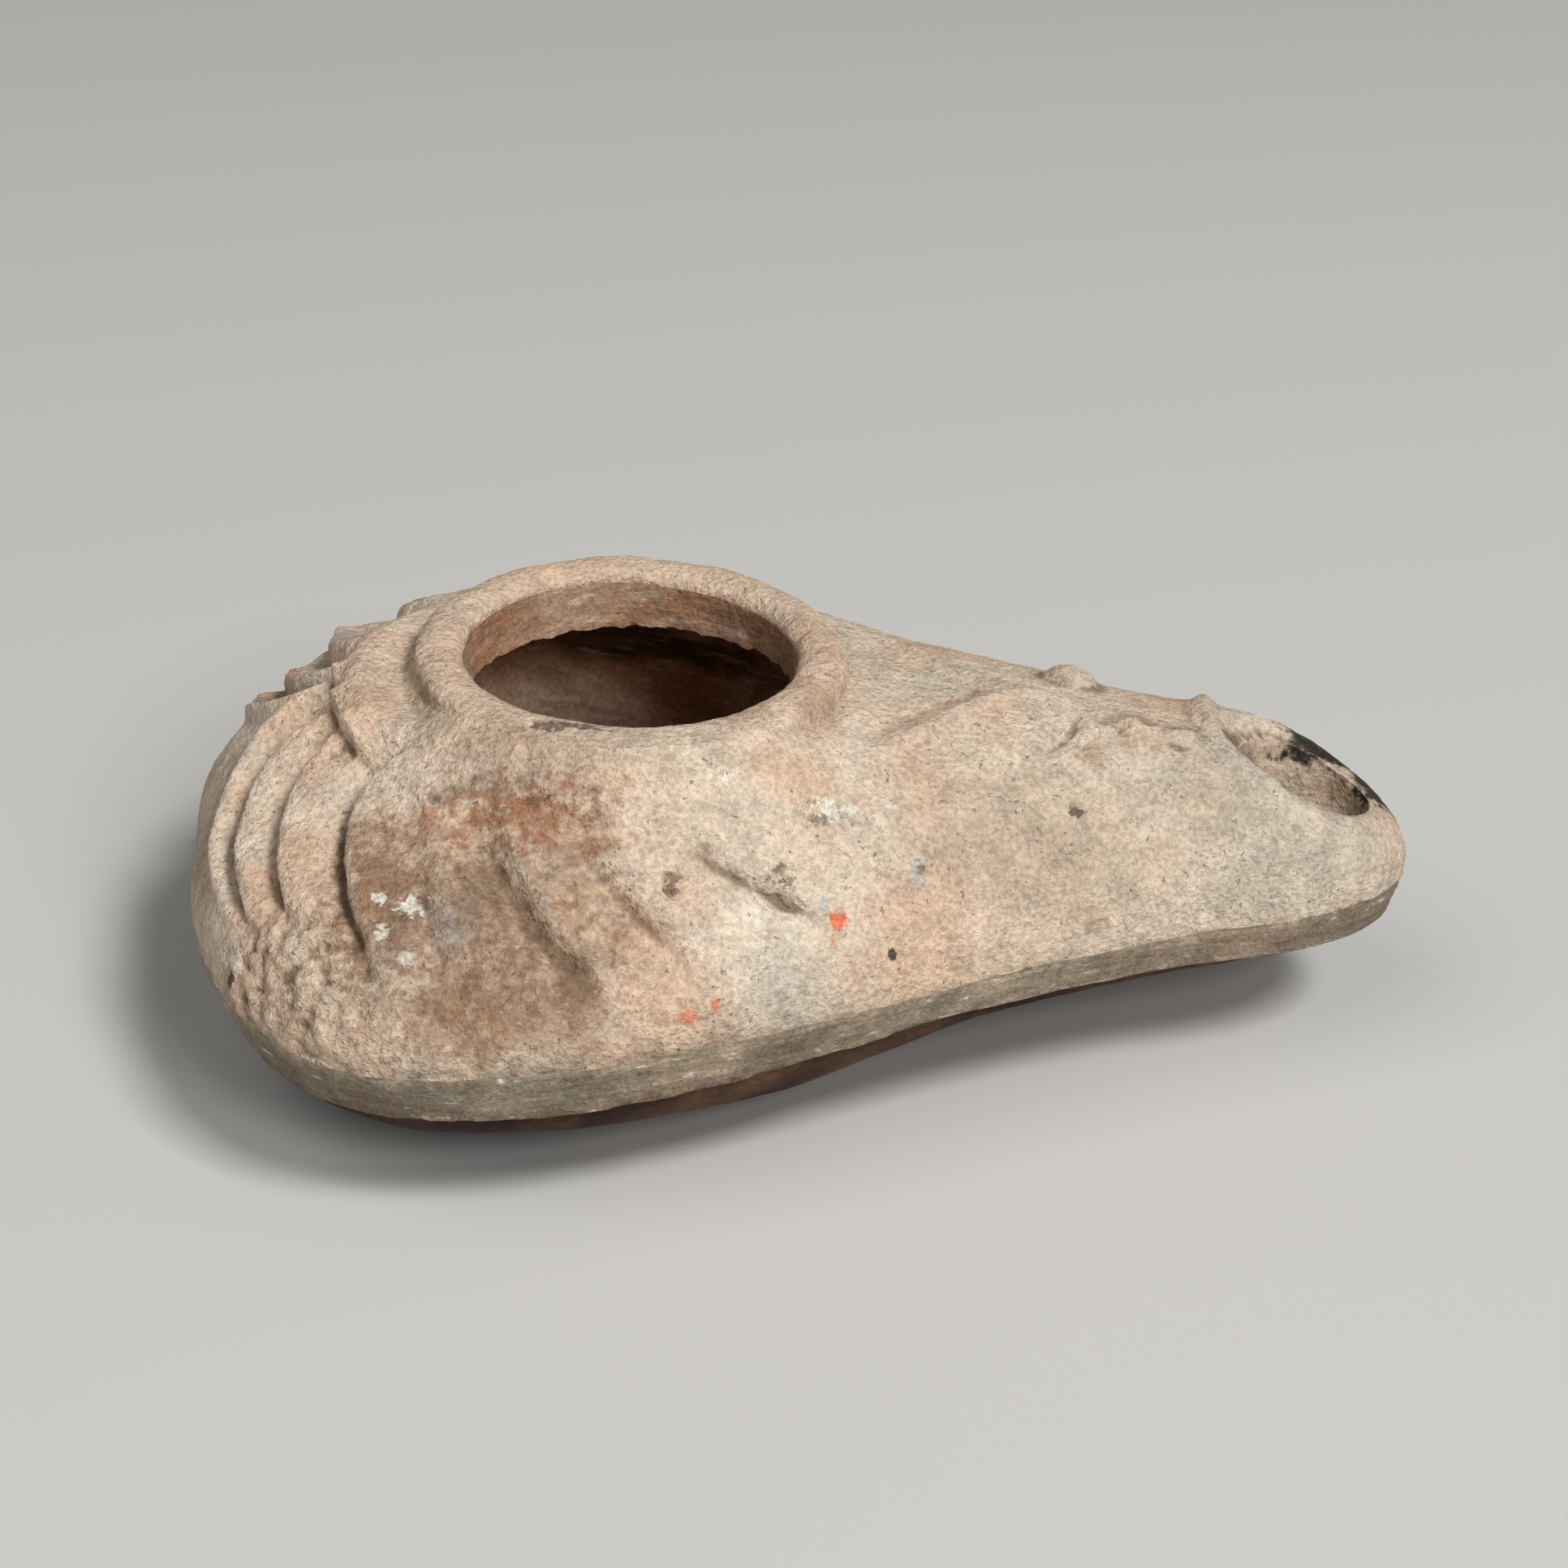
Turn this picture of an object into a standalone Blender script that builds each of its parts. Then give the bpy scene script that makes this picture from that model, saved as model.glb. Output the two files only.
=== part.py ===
"""A mould-made oil lamp of fired clay: one hollow, slipper-shaped shell.

The nozzle points along +X, the base stands on z = 0, and the origin is on the flat base, straight
under the centre of the filling hole. The shell is lofted ring by ring: out from the base, up the
round underside, over the pared seam band and the ribbed shoulder to the collar, down through the
filling hole and round the cavity.
"""

import math

import bmesh
import bpy
import numpy as np
from mathutils import Matrix, Vector
from mathutils.bvhtree import BVHTree

MM = 0.001

# Plan of the seam, where the two mould halves meet
BACK_REACH = 35.8 * MM
TIP_REACH = 64.2 * MM
BODY_HALF_WIDTH = 35.8 * MM
WIDEST_BEHIND_HOLE = 13.9 * MM
BACK_SQUARENESS = 2.07
NOZZLE_HALF_WIDTH = 11.9 * MM
NOZZLE_STATION = 50.0 * MM
NOZZLE_TAPER = 0.245
TIP_FULLNESS = 0.55

# Heights above the base
SEAM_HEIGHT = 14.3 * MM
COLLAR_HEIGHT = 33.5 * MM
COLLAR_TILT = 0.8 * MM
COLLAR_HIGH_SIDE = 140.0
COLLAR_STAND = 2.2 * MM
COLLAR_FOOT_HEIGHT = COLLAR_HEIGHT - COLLAR_STAND
CREST_BELOW_COLLAR = 3.6 * MM
CREST_HEIGHT = COLLAR_HEIGHT - CREST_BELOW_COLLAR
CREST_DROP = 7.6 * MM
CREST_CURVE = 1.7
CREST_END = 61.5 * MM
TIP_ROUNDING = 10.0 * MM
BAND_HEIGHT = 4.4 * MM
BAND_HEIGHT_NOZZLE = 3.2 * MM
BAND_NARROWING = 30.0 * MM
BAND_UNDERCUT = 1.0 * MM
BAND_UNDERCUT_BACK = 1.7 * MM
BAND_LEDGE = 0.4 * MM

# Filling hole and its collar
HOLE_RADIUS = 13.4 * MM
HOLE_WALL = 5.6 * MM
COLLAR_WIDTH = 4.2 * MM
COLLAR_INNER_EDGE = 1.2 * MM

# Wick hole
WICK_HOLE_CENTRE = 55.5 * MM
WICK_HOLE_LENGTH = 11.6 * MM
WICK_HOLE_WIDTH = 10.2 * MM
WICK_HOLE_FLARE = 0.2
WICK_DIP = 1.5 * MM
WICK_DIP_REACH = 2.4 * MM

# Thickness of the clay
WALL = 3.2 * MM
NOZZLE_WALL = 4.8 * MM
TIP_WALL = 2.6 * MM
FLOOR_THICKNESS = 3.2 * MM

# Flat base
BASE_CENTRE = 5.0 * MM
BASE_HALF_LENGTH = 17.0 * MM
BASE_HALF_WIDTH = 15.0 * MM
BASE_STEP = 0.8 * MM

# Profiles: how full the shoulder, the underside and the cavity are
SHOULDER_RISE = 1.15
SHOULDER_FULLNESS = 1.85
CAVITY_RISE = 1.5
UNDERSIDE_RISE = 1.3
UNDERSIDE_FULLNESS = 1.65
SECTION_SQUARENESS = 2.0
SECTION_SQUARENESS_AT_WICK = 3.4
SQUARING_REACH = 16.0 * MM
KEEL_CURVE = 1.05
KEEL_FULLNESS = 1.3
KEEL_BLEND = 10.0 * MM

# Terrace round the back of the collar, and the groove at the collar's foot
TERRACE_HEIGHT = 1.6 * MM
TERRACE_START = 1.4 * MM
TERRACE_WIDTH = 5.2 * MM
TERRACE_EDGE = 1.2 * MM
FOOT_GROOVE_DEPTH = 0.5 * MM
FOOT_GROOVE_WIDTH = 0.9 * MM
FOOT_FILLET = 1.3 * MM
FOOT_FILLET_REACH = 4.0 * MM

# Angles from the nozzle, in degrees, over which the terrace, groove and fillet fade in or out
TERRACE_FADE_FAR = (122.0, 158.0)
TERRACE_FADE_NEAR = (140.0, 158.0)
GROOVE_FADE = (40.0, 75.0)
FILLET_FADE_FRONT = (25.0, 50.0)
FILLET_FADE_BACK = (130.0, 155.0)

# Grooves between the ribs: start angle from the nozzle, sweep, curl, inner and outer radius, depth,
# width of the steep side, and how far the rib's crest stands up beside it
RIB_GROOVES = (
    (173.0, 21.0, 2.0, 23.5 * MM, 36.0 * MM, 1.3 * MM, 2.6 * MM, 0.5 * MM),
    (161.0, 22.0, 1.5, 23.5 * MM, 35.5 * MM, 1.1 * MM, 2.4 * MM, 0.5 * MM),
    (142.5, 18.0, 1.5, 22.5 * MM, 36.0 * MM, 1.2 * MM, 2.4 * MM, 0.4 * MM),
    (131.0, 20.0, 0.8, 24.5 * MM, 34.5 * MM, 0.5 * MM, 2.2 * MM, 0.1 * MM),
    (114.0, 30.0, 1.3, 24.5 * MM, 32.0 * MM, 1.3 * MM, 2.4 * MM, 0.0 * MM),
    (96.0, 30.0, 1.0, 21.5 * MM, 29.5 * MM, 0.8 * MM, 2.1 * MM, 0.1 * MM),
    (73.0, 36.0, 1.0, 23.5 * MM, 29.0 * MM, 0.9 * MM, 1.8 * MM, 0.0 * MM),
    (56.0, 25.0, 1.0, 25.0 * MM, 30.0 * MM, 0.5 * MM, 1.6 * MM, 0.0 * MM),
)
RIB_ROOT_RADIUS = 24.0 * MM
SWEEP_REACH = 10.0 * MM
GROOVE_GENTLE_SIDE = 2.6 * MM
GROOVE_RUN_OUT = 2.6 * MM
RIB_FALL = 3.0 * MM
REAR_RIB_RISE = 1.2 * MM
REAR_RIB_ASIDE = 3.6 * MM
REAR_RIB_HALF_WIDTH = 2.0 * MM
FAR_RIB_SHIFT = 5.0
FAR_RIB_FADE = (0.0, 25.0)

# Raised lines on the nozzle
RIDGE_RADIUS = 1.2 * MM
RIDGE_PROUD = 0.8 * MM
RIDGE_SPREAD = 11.6 * MM
RIDGE_START = 19.0 * MM
RIDGE_MEET = 31.0 * MM
RIDGE_END = 36.0 * MM
RIDGE_BEND = 1.15
WICK_RIM_RADIUS = 12.5 * MM
WICK_RIM_CENTRE = (59.4 * MM, 3.7 * MM)
WICK_RIM_TURN = (-20.0, 50.0)
KNOB_RADIUS = 2.5 * MM
KNOB_PROUD = 1.3 * MM
KNOB_ALONG = 36.0 * MM
KNOB_ASIDE = 5.4 * MM

# Fineness of the mesh
COLUMNS = 122
COLUMN_CROWDING = 0.30
COLUMN_SWEEP = 0.30
SHOULDER_RINGS = 13
COLLAR_RINGS = 5
UNDERSIDE_RINGS = 5
CAVITY_RINGS = 4
OUTLINE_STEPS = 400
WICK_SEGMENTS = 36
RIDGE_STEPS = 12
WICK_RIM_STEPS = 18

CLAY_COLOUR = (0.50, 0.38, 0.28, 1.0)
CLAY_ROUGHNESS = 0.9


def ramp(low, high, value):
    """Smooth step from 0 at low to 1 at high."""
    share = np.clip((value - low) / (high - low), 0.0, 1.0)
    return share * share * (3.0 - 2.0 * share)


def arch(share, rise, fullness):
    """Height share of a dome, 1 at share 0 and 0 at share 1."""
    return np.maximum(1.0 - share ** rise, 0.0) ** (1.0 / fullness)


def collar_angle(turn):
    """Angle round the collar of a column, swept back from the seam as the ribs are."""
    half = 2.0 * np.where(turn <= 0.5, turn, 1.0 - turn)
    side = np.where(turn <= 0.5, 1.0, -1.0)
    return 2.0 * math.pi * turn + side * COLUMN_SWEEP * np.sin(math.pi * half ** 1.6)


def collar_top(angle):
    """Height of the collar's rim, which is a little lower in front than at its back."""
    return COLLAR_HEIGHT - COLLAR_TILT * (1.0 - np.cos(angle - math.radians(COLLAR_HIGH_SIDE))) / 2.0


def near_side(angle):
    """Share of the fillet at this angle in degrees: 1 along the collar's near side."""
    return ramp(*FILLET_FADE_FRONT, -angle) * (1.0 - ramp(*FILLET_FADE_BACK, -angle))


class Skin:
    """One face of the clay wall: the outside, or the inside set in from it."""

    def __init__(self, inset=0.0, nozzle_inset=0.0, tip_inset=0.0):
        self.inset = inset
        self.nozzle_inset = nozzle_inset
        self.back = BACK_REACH - inset
        self.tip = TIP_REACH - tip_inset
        self.width = BODY_HALF_WIDTH - inset
        self.nozzle = NOZZLE_HALF_WIDTH - nozzle_inset
        self.side_x, self.side_y = self.half_outline()
        steps = np.hypot(np.diff(self.side_x), np.diff(self.side_y))
        run = np.concatenate([[0.0], np.cumsum(steps)])
        self.share = run / run[-1]

    def half_outline(self):
        """The +Y half of the plan, from the tip round to the back."""
        share = np.linspace(0.0, 1.0, OUTLINE_STEPS)
        tip_run = self.tip - NOZZLE_STATION
        corner = (NOZZLE_STATION + TIP_FULLNESS * tip_run,
                  self.nozzle - TIP_FULLNESS * tip_run * NOZZLE_TAPER)
        points = ((self.tip, 0.0), (self.tip, self.nozzle / 2.0), corner,
                  (NOZZLE_STATION, self.nozzle))
        weights = ((1.0 - share) ** 3, 3.0 * (1.0 - share) ** 2 * share,
                   3.0 * (1.0 - share) * share ** 2, share ** 3)
        tip_x = sum(weight * point[0] for weight, point in zip(weights, points))
        tip_y = sum(weight * point[1] for weight, point in zip(weights, points))

        span = NOZZLE_STATION + WIDEST_BEHIND_HOLE
        back_share = 1.0 - share
        ease = back_share ** 2 * (3.0 - 2.0 * back_share)
        tangent = back_share ** 2 * (1.0 - back_share)
        flank_x = back_share * span - WIDEST_BEHIND_HOLE
        flank_y = self.width + (self.nozzle - self.width) * ease + tangent * span * NOZZLE_TAPER

        turn = share * math.pi / 2.0
        power = 2.0 / BACK_SQUARENESS
        back_x = -WIDEST_BEHIND_HOLE - (self.back - WIDEST_BEHIND_HOLE) * np.sin(turn) ** power
        back_y = self.width * np.maximum(np.cos(turn), 0.0) ** power
        x = np.concatenate([tip_x, flank_x[1:], back_x[1:]])
        y = np.concatenate([tip_y, flank_y[1:], back_y[1:]])
        return x, y

    def outline(self, turn):
        """Plan points at these shares of the way round, 0 at the tip and 0.5 at the back."""
        half = 2.0 * np.where(turn <= 0.5, turn, 1.0 - turn)
        side = np.where(turn <= 0.5, 1.0, -1.0)
        return np.interp(half, self.share, self.side_x), side * np.interp(half, self.share, self.side_y)

    def tucked(self, turn, ledge=0.0):
        """Plan points below the band, drawn in by its undercut and a ledge."""
        x, y = self.outline(turn)
        back = 1.0 - ramp(-1.5 * WIDEST_BEHIND_HOLE, 0.0, x)
        tuck = BAND_UNDERCUT + (BAND_UNDERCUT_BACK - BAND_UNDERCUT) * back + ledge
        keep = 1.0 - tuck / np.hypot(x, y)
        return x * keep, y * keep

    def half_width(self, x):
        """Half the width of the plan at x."""
        return np.maximum(np.interp(x, self.side_x[::-1], self.side_y[::-1]), 0.05 * MM)

    def crest(self, x):
        """Height of the line along the top of the nozzle."""
        foot = HOLE_RADIUS + COLLAR_WIDTH
        run = np.maximum(x - foot, 0.0) / (CREST_END - foot)
        roof = self.inset + (self.nozzle_inset - self.inset) * np.minimum(run, 1.0)
        height = CREST_HEIGHT - roof - CREST_DROP * run ** CREST_CURVE
        end = np.clip((x - self.tip + TIP_ROUNDING) / TIP_ROUNDING, 0.0, 1.0)
        return SEAM_HEIGHT + (height - SEAM_HEIGHT) * np.sqrt(1.0 - end * end)

    def band_foot(self, x):
        """Height of the lower edge of the pared band."""
        narrow = ramp(0.0, BAND_NARROWING, x)
        return SEAM_HEIGHT - BAND_HEIGHT + (BAND_HEIGHT - BAND_HEIGHT_NOZZLE) * narrow

    def keel(self, x):
        """Height of the line along the underside of the nozzle."""
        front = BASE_CENTRE + BASE_HALF_LENGTH
        run = np.clip((x - front) / (self.tip - front), 0.0, 1.0)
        floor = FLOOR_THICKNESS if self.inset else BASE_STEP
        top = SEAM_HEIGHT if self.inset else self.band_foot(self.tip)
        return floor + (top - floor) * run ** KEEL_CURVE

    def upper(self, turn, share):
        """Points of the top, share 0 at the collar and 1 at the seam."""
        out_x, out_y = self.outline(turn)
        inner = HOLE_RADIUS if self.inset else HOLE_RADIUS + COLLAR_WIDTH
        start = COLLAR_HEIGHT - HOLE_WALL if self.inset else COLLAR_FOOT_HEIGHT
        rise = CAVITY_RISE if self.inset else SHOULDER_RISE
        angle = collar_angle(turn)
        x = inner * np.cos(angle) * (1.0 - share) + out_x * share
        y = inner * np.sin(angle) * (1.0 - share) + out_y * share
        dome = SEAM_HEIGHT + (start - SEAM_HEIGHT) * arch(share, rise, SHOULDER_FULLNESS)
        square = SECTION_SQUARENESS + (SECTION_SQUARENESS_AT_WICK - SECTION_SQUARENESS) * ramp(
            WICK_HOLE_CENTRE - SQUARING_REACH, WICK_HOLE_CENTRE, x)
        across = np.clip(np.abs(y) / self.half_width(x), 0.0, 1.0)
        section = SEAM_HEIGHT + (self.crest(x) - SEAM_HEIGHT) * arch(across, square, 2.0)
        blend = ramp(0.25 * HOLE_RADIUS, RIDGE_MEET, x)
        z = dome + (section - dome) * blend
        if not self.inset:
            away = (np.hypot(x, y) - inner) / FOOT_FILLET_REACH
            z = z + FOOT_FILLET * near_side(np.degrees(np.arctan2(y, x))) * np.exp(-away ** 2)
        return np.stack([x, y, np.where(share >= 1.0, SEAM_HEIGHT, z)], axis=-1)

    def lower(self, turn, share):
        """Points of the underside, share 0 at the flat base and 1 below the band."""
        out_x, out_y = self.outline(turn) if self.inset else self.tucked(turn, BAND_LEDGE)
        angle = 2.0 * math.pi * turn
        x = (BASE_CENTRE + BASE_HALF_LENGTH * np.cos(angle)) * (1.0 - share) + out_x * share
        y = BASE_HALF_WIDTH * np.sin(angle) * (1.0 - share) + out_y * share
        top = SEAM_HEIGHT if self.inset else self.band_foot(x)
        floor = FLOOR_THICKNESS if self.inset else BASE_STEP
        bowl = top - (top - floor) * arch(share, UNDERSIDE_RISE, UNDERSIDE_FULLNESS)
        across = np.clip(np.abs(y) / self.half_width(x), 0.0, 1.0)
        section = top - (top - self.keel(x)) * np.maximum(1.0 - across ** KEEL_FULLNESS, 0.0)
        front = BASE_CENTRE + BASE_HALF_LENGTH
        blend = ramp(front - KEEL_BLEND, front + KEEL_BLEND, x) * ramp(0.0, 0.35, share)
        z = bowl + (section - bowl) * blend
        return np.stack([x, y, np.where(share >= 1.0, top, z)], axis=-1)


def groove_distance(radius, angle, start, sweep, curl):
    """Distance from a rib groove, positive on its nozzle side."""
    run = np.maximum(radius - RIB_ROOT_RADIUS, 0.0) / SWEEP_REACH
    centre = start - sweep * run ** curl
    return radius * np.radians(centre - angle)


def rib_angle(angle):
    """Angle that places the ribs: those of the far side sit a little nearer the back."""
    shift = FAR_RIB_SHIFT * ramp(*FAR_RIB_FADE, 180.0 - angle)
    return np.abs(angle) - np.where(angle > 0.0, shift, 0.0)


def groove_ends(radius, inner, outer):
    """Share of a rib groove that is left towards its inner and outer end."""
    start = ramp(inner - GROOVE_RUN_OUT, inner + GROOVE_RUN_OUT / 2.0, radius)
    return start * (1.0 - ramp(outer - GROOVE_RUN_OUT, outer + GROOVE_RUN_OUT / 2.0, radius))


def rear_rib(radius, angle):
    """Raised rims of the rib in the middle of the back, beside its two grooves."""
    start, sweep, curl, inner, outer = RIB_GROOVES[0][:5]
    aside = groove_distance(radius, rib_angle(angle), start, sweep, curl) + REAR_RIB_ASIDE
    return REAR_RIB_RISE * groove_ends(radius, inner, outer) * np.exp(-(aside / REAR_RIB_HALF_WIDTH) ** 2)


def rib_relief(radius, angle):
    """Swept grooves that part the ribs, steep towards the nozzle."""
    relief = rear_rib(radius, angle)
    for start, sweep, curl, inner, outer, depth, steep, crest in RIB_GROOVES:
        away = groove_distance(radius, rib_angle(angle), start, sweep, curl)
        gentle = -depth * np.exp(-(np.maximum(-away, 0.0) / GROOVE_GENTLE_SIDE) ** 1.5)
        rib = crest * np.exp(-(np.maximum(away - steep, 0.0) / RIB_FALL) ** 2)
        profile = gentle + (rib - gentle) * ramp(0.0, steep, away)
        relief = relief + groove_ends(radius, inner, outer) * profile
    return relief


def collar_relief(radius, angle):
    """Terrace behind the collar, and the groove at its foot."""
    foot = HOLE_RADIUS + COLLAR_WIDTH
    start = foot + TERRACE_START
    edge = start + TERRACE_WIDTH - TERRACE_EDGE
    back = np.where(angle > 0.0, ramp(*TERRACE_FADE_FAR, angle), ramp(*TERRACE_FADE_NEAR, -angle))
    terrace = TERRACE_HEIGHT * back * (
        ramp(start, start + TERRACE_WIDTH / 2.0, radius) - ramp(edge, edge + TERRACE_EDGE, radius))
    away = (radius - foot - FOOT_GROOVE_WIDTH) / FOOT_GROOVE_WIDTH
    depth = FOOT_GROOVE_DEPTH * ramp(*GROOVE_FADE, np.abs(angle)) * (1.0 - near_side(angle))
    return terrace - depth * np.exp(-away ** 2)


def wick_relief(x, y):
    """Hollow round the wick hole, deepest at the hole and fading towards the tip."""
    share = np.hypot((x - WICK_HOLE_CENTRE) * 2.0 / WICK_HOLE_LENGTH, y * 2.0 / WICK_HOLE_WIDTH)
    outside = (share - 1.0) * WICK_HOLE_WIDTH / 2.0
    tip = ramp(WICK_HOLE_CENTRE + WICK_HOLE_LENGTH / 4.0, WICK_HOLE_CENTRE + WICK_HOLE_LENGTH / 2.0, x)
    return -WICK_DIP * (1.0 - ramp(0.0, WICK_DIP_REACH, outside)) * (1.0 - 0.6 * tip)


def relief(points):
    """How far the moulded relief stands off the plain shoulder."""
    radius = np.hypot(points[:, 0], points[:, 1])
    angle = np.degrees(np.arctan2(points[:, 1], points[:, 0]))
    above = ramp(SEAM_HEIGHT + 0.3 * MM, SEAM_HEIGHT + 3.0 * MM, points[:, 2])
    body = rib_relief(radius, angle) + collar_relief(radius, angle)
    return (body + wick_relief(points[:, 0], points[:, 1])) * above


def column_turns():
    """Shares of the way round at which the columns stand, closer together at the ribs."""
    even = np.arange(COLUMNS) / COLUMNS
    return even + COLUMN_CROWDING * np.sin(2.0 * math.pi * even) / (2.0 * math.pi)


def extrude_ring(bm, ring, points):
    """Extrude a ring of vertices into a new ring at these points, and return it."""
    edges = [bm.edges.get((a, b)) for a, b in zip(ring, ring[1:] + ring[:1])]
    made = bmesh.ops.extrude_edge_only(bm, edges=edges)["geom"]
    fresh = {item for item in made if isinstance(item, bmesh.types.BMVert)}
    new_ring = []
    for vert, point in zip(ring, points):
        twin = next(edge.other_vert(vert) for edge in vert.link_edges if edge.other_vert(vert) in fresh)
        twin.co = Vector(point)
        new_ring.append(twin)
    return new_ring


def collar_ring(turns, foot, share):
    """One ring of the rounded collar, share 0 at its foot and 1 at the filling hole."""
    swing = math.pi * share
    middle = HOLE_RADIUS + COLLAR_WIDTH / 2.0
    radius = middle + COLLAR_WIDTH / 2.0 * math.cos(swing)
    angle = collar_angle(turns)
    top = collar_top(angle)
    side = foot[:, 2] * (1.0 - share) + (top - COLLAR_INNER_EDGE) * share
    height = side + (top - side) * math.sin(swing) ** 0.8
    return np.stack([radius * np.cos(angle), radius * np.sin(angle), height], axis=-1)


def hole_ring(turns, height):
    """A ring of the filling hole's upright wall."""
    angle = collar_angle(turns)
    return np.stack([HOLE_RADIUS * np.cos(angle), HOLE_RADIUS * np.sin(angle),
                     np.full_like(angle, height)], axis=-1)


def mould_relief(bm, shoulder):
    """Raise and sink the shoulder, split its faces along the ribs, and leave every face flat."""
    bm.normal_update()
    heights = relief(np.array([vert.co[:] for vert in shoulder]))
    level = {vert: float(height) for vert, height in zip(shoulder, heights)}
    faces = {face for vert in shoulder for face in vert.link_faces}
    for vert in shoulder:
        vert.co += vert.normal * level[vert]
    for face in sorted(faces, key=lambda item: item.index):
        if all(vert in level for vert in face.verts):
            a, b, c, d = face.verts
            along = (a, c) if abs(level[a] - level[c]) <= abs(level[b] - level[d]) else (b, d)
            bmesh.utils.face_split(face, *along)
    bmesh.ops.triangulate(bm, faces=bm.faces)


def shell_mesh():
    """The whole lamp wall as one closed skin, before the wick hole is cut."""
    outside = Skin()
    inside = Skin(WALL, NOZZLE_WALL, TIP_WALL)
    turns = column_turns()
    bm = bmesh.new()
    start = bmesh.ops.create_circle(bm, cap_ends=True, segments=COLUMNS, radius=BASE_HALF_LENGTH)
    ring = start["verts"]
    base_edge = outside.lower(turns, np.zeros(COLUMNS))
    for vert, point in zip(ring, base_edge):
        vert.co = Vector((point[0], point[1], 0.0))
    ring = extrude_ring(bm, ring, base_edge)
    for step in range(1, UNDERSIDE_RINGS + 1):
        share = 1.0 - (1.0 - step / UNDERSIDE_RINGS) ** 1.3
        ring = extrude_ring(bm, ring, outside.lower(turns, np.full(COLUMNS, share)))

    edge_x, edge_y = outside.tucked(turns)
    ring = extrude_ring(bm, ring, np.stack([edge_x, edge_y, outside.band_foot(edge_x)], axis=-1))
    shoulder = []
    for step in range(SHOULDER_RINGS + 1):
        share = (1.0 - step / SHOULDER_RINGS) ** 1.12
        ring = extrude_ring(bm, ring, outside.upper(turns, np.full(COLUMNS, share)))
        shoulder.extend(ring)
    foot = outside.upper(turns, np.zeros(COLUMNS))
    for step in range(1, COLLAR_RINGS + 1):
        ring = extrude_ring(bm, ring, collar_ring(turns, foot, step / COLLAR_RINGS))
    ring = extrude_ring(bm, ring, hole_ring(turns, COLLAR_HEIGHT - HOLE_WALL))

    for step in range(1, CAVITY_RINGS + 1):
        share = 1.0 - (1.0 - step / CAVITY_RINGS) ** 1.5
        ring = extrude_ring(bm, ring, inside.upper(turns, np.full(COLUMNS, share)))
    for step in range(CAVITY_RINGS - 1, -1, -1):
        share = 1.0 - (1.0 - step / CAVITY_RINGS) ** 1.3
        ring = extrude_ring(bm, ring, inside.lower(turns, np.full(COLUMNS, share)))
    bmesh.ops.contextual_create(bm, geom=ring)
    bmesh.ops.recalc_face_normals(bm, faces=bm.faces)
    bm.faces.index_update()
    mould_relief(bm, shoulder)
    return bm


def mesh_object(name, bm):
    """A new object made from a bmesh, which is then freed."""
    mesh = bpy.data.meshes.new(name)
    bm.to_mesh(mesh)
    bm.free()
    made = bpy.data.objects.new(name, mesh)
    bpy.context.scene.collection.objects.link(made)
    return made


def tool_object(name, bm):
    """An object that only cuts or joins, and isn't part of the model."""
    made = mesh_object(name, bm)
    made.hide_render = True
    made.display_type = "WIRE"
    return made


def wick_cutter():
    """An upright oval plug, wider at its top, that opens the nozzle into its channel."""
    bm = bmesh.new()
    half_step = Matrix.Rotation(math.pi / WICK_SEGMENTS, 4, "Z")
    bmesh.ops.create_cone(bm, cap_ends=True, segments=WICK_SEGMENTS, radius1=1.0, radius2=1.0, depth=1.0,
                          matrix=half_step)
    bottom = SEAM_HEIGHT + BAND_HEIGHT_NOZZLE / 2.0
    rim = Skin().crest(WICK_HOLE_CENTRE) - WICK_DIP
    for vert in bm.verts:
        vert.co.z = COLLAR_HEIGHT if vert.co.z > 0.0 else bottom
        flare = WICK_HOLE_FLARE * (vert.co.z - rim)
        vert.co.x = WICK_HOLE_CENTRE + vert.co.x * (WICK_HOLE_LENGTH / 2.0 + flare)
        vert.co.y *= WICK_HOLE_WIDTH / 2.0 + flare
    return tool_object("wick_hole_cutter", bm)


def sweep(path, radii, sides=8):
    """A closed round bar along a path, with its own radius at each point."""
    bm = bmesh.new()
    ring = None
    count = len(path)
    for index, (point, radius) in enumerate(zip(path, radii)):
        ahead = path[min(index + 1, count - 1)] - path[max(index - 1, 0)]
        side = ahead.cross(Vector((0.0, 0.0, 1.0))).normalized()
        rise = side.cross(ahead).normalized()
        angles = [2.0 * math.pi * (step + 0.5) / sides for step in range(sides)]
        places = [point + radius * (math.cos(angle) * side + math.sin(angle) * rise) for angle in angles]
        if ring is None:
            ring = bmesh.ops.create_circle(bm, cap_ends=True, segments=sides, radius=radius)["verts"]
            for vert, place in zip(ring, places):
                vert.co = place
        else:
            ring = extrude_ring(bm, ring, places)
    bmesh.ops.contextual_create(bm, geom=ring)
    bmesh.ops.recalc_face_normals(bm, faces=bm.faces)
    return bm


def on_surface(tree, x, y, proud, radius):
    """Centre of a bar of this radius that stands this much above the surface at x, y."""
    hit = tree.ray_cast(Vector((x, y, 2.0 * COLLAR_HEIGHT)), Vector((0.0, 0.0, -1.0)))[0]
    return Vector((x, y, hit.z + proud - radius))


def collar_ridge(tree, side, end):
    """One of the two raised lines that run from the collar and meet along the nozzle."""
    path = []
    radii = []
    for step in range(RIDGE_STEPS + 1):
        x = RIDGE_START + (end - RIDGE_START) * step / RIDGE_STEPS
        apart = max(RIDGE_MEET - x, 0.0) / (RIDGE_MEET - RIDGE_START)
        radius = RIDGE_RADIUS * (0.75 + 0.25 * math.sin(math.pi * step / RIDGE_STEPS))
        path.append(on_surface(tree, x, side * RIDGE_SPREAD * apart ** RIDGE_BEND, RIDGE_PROUD, radius))
        radii.append(radius)
    return sweep(path, radii)


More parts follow.
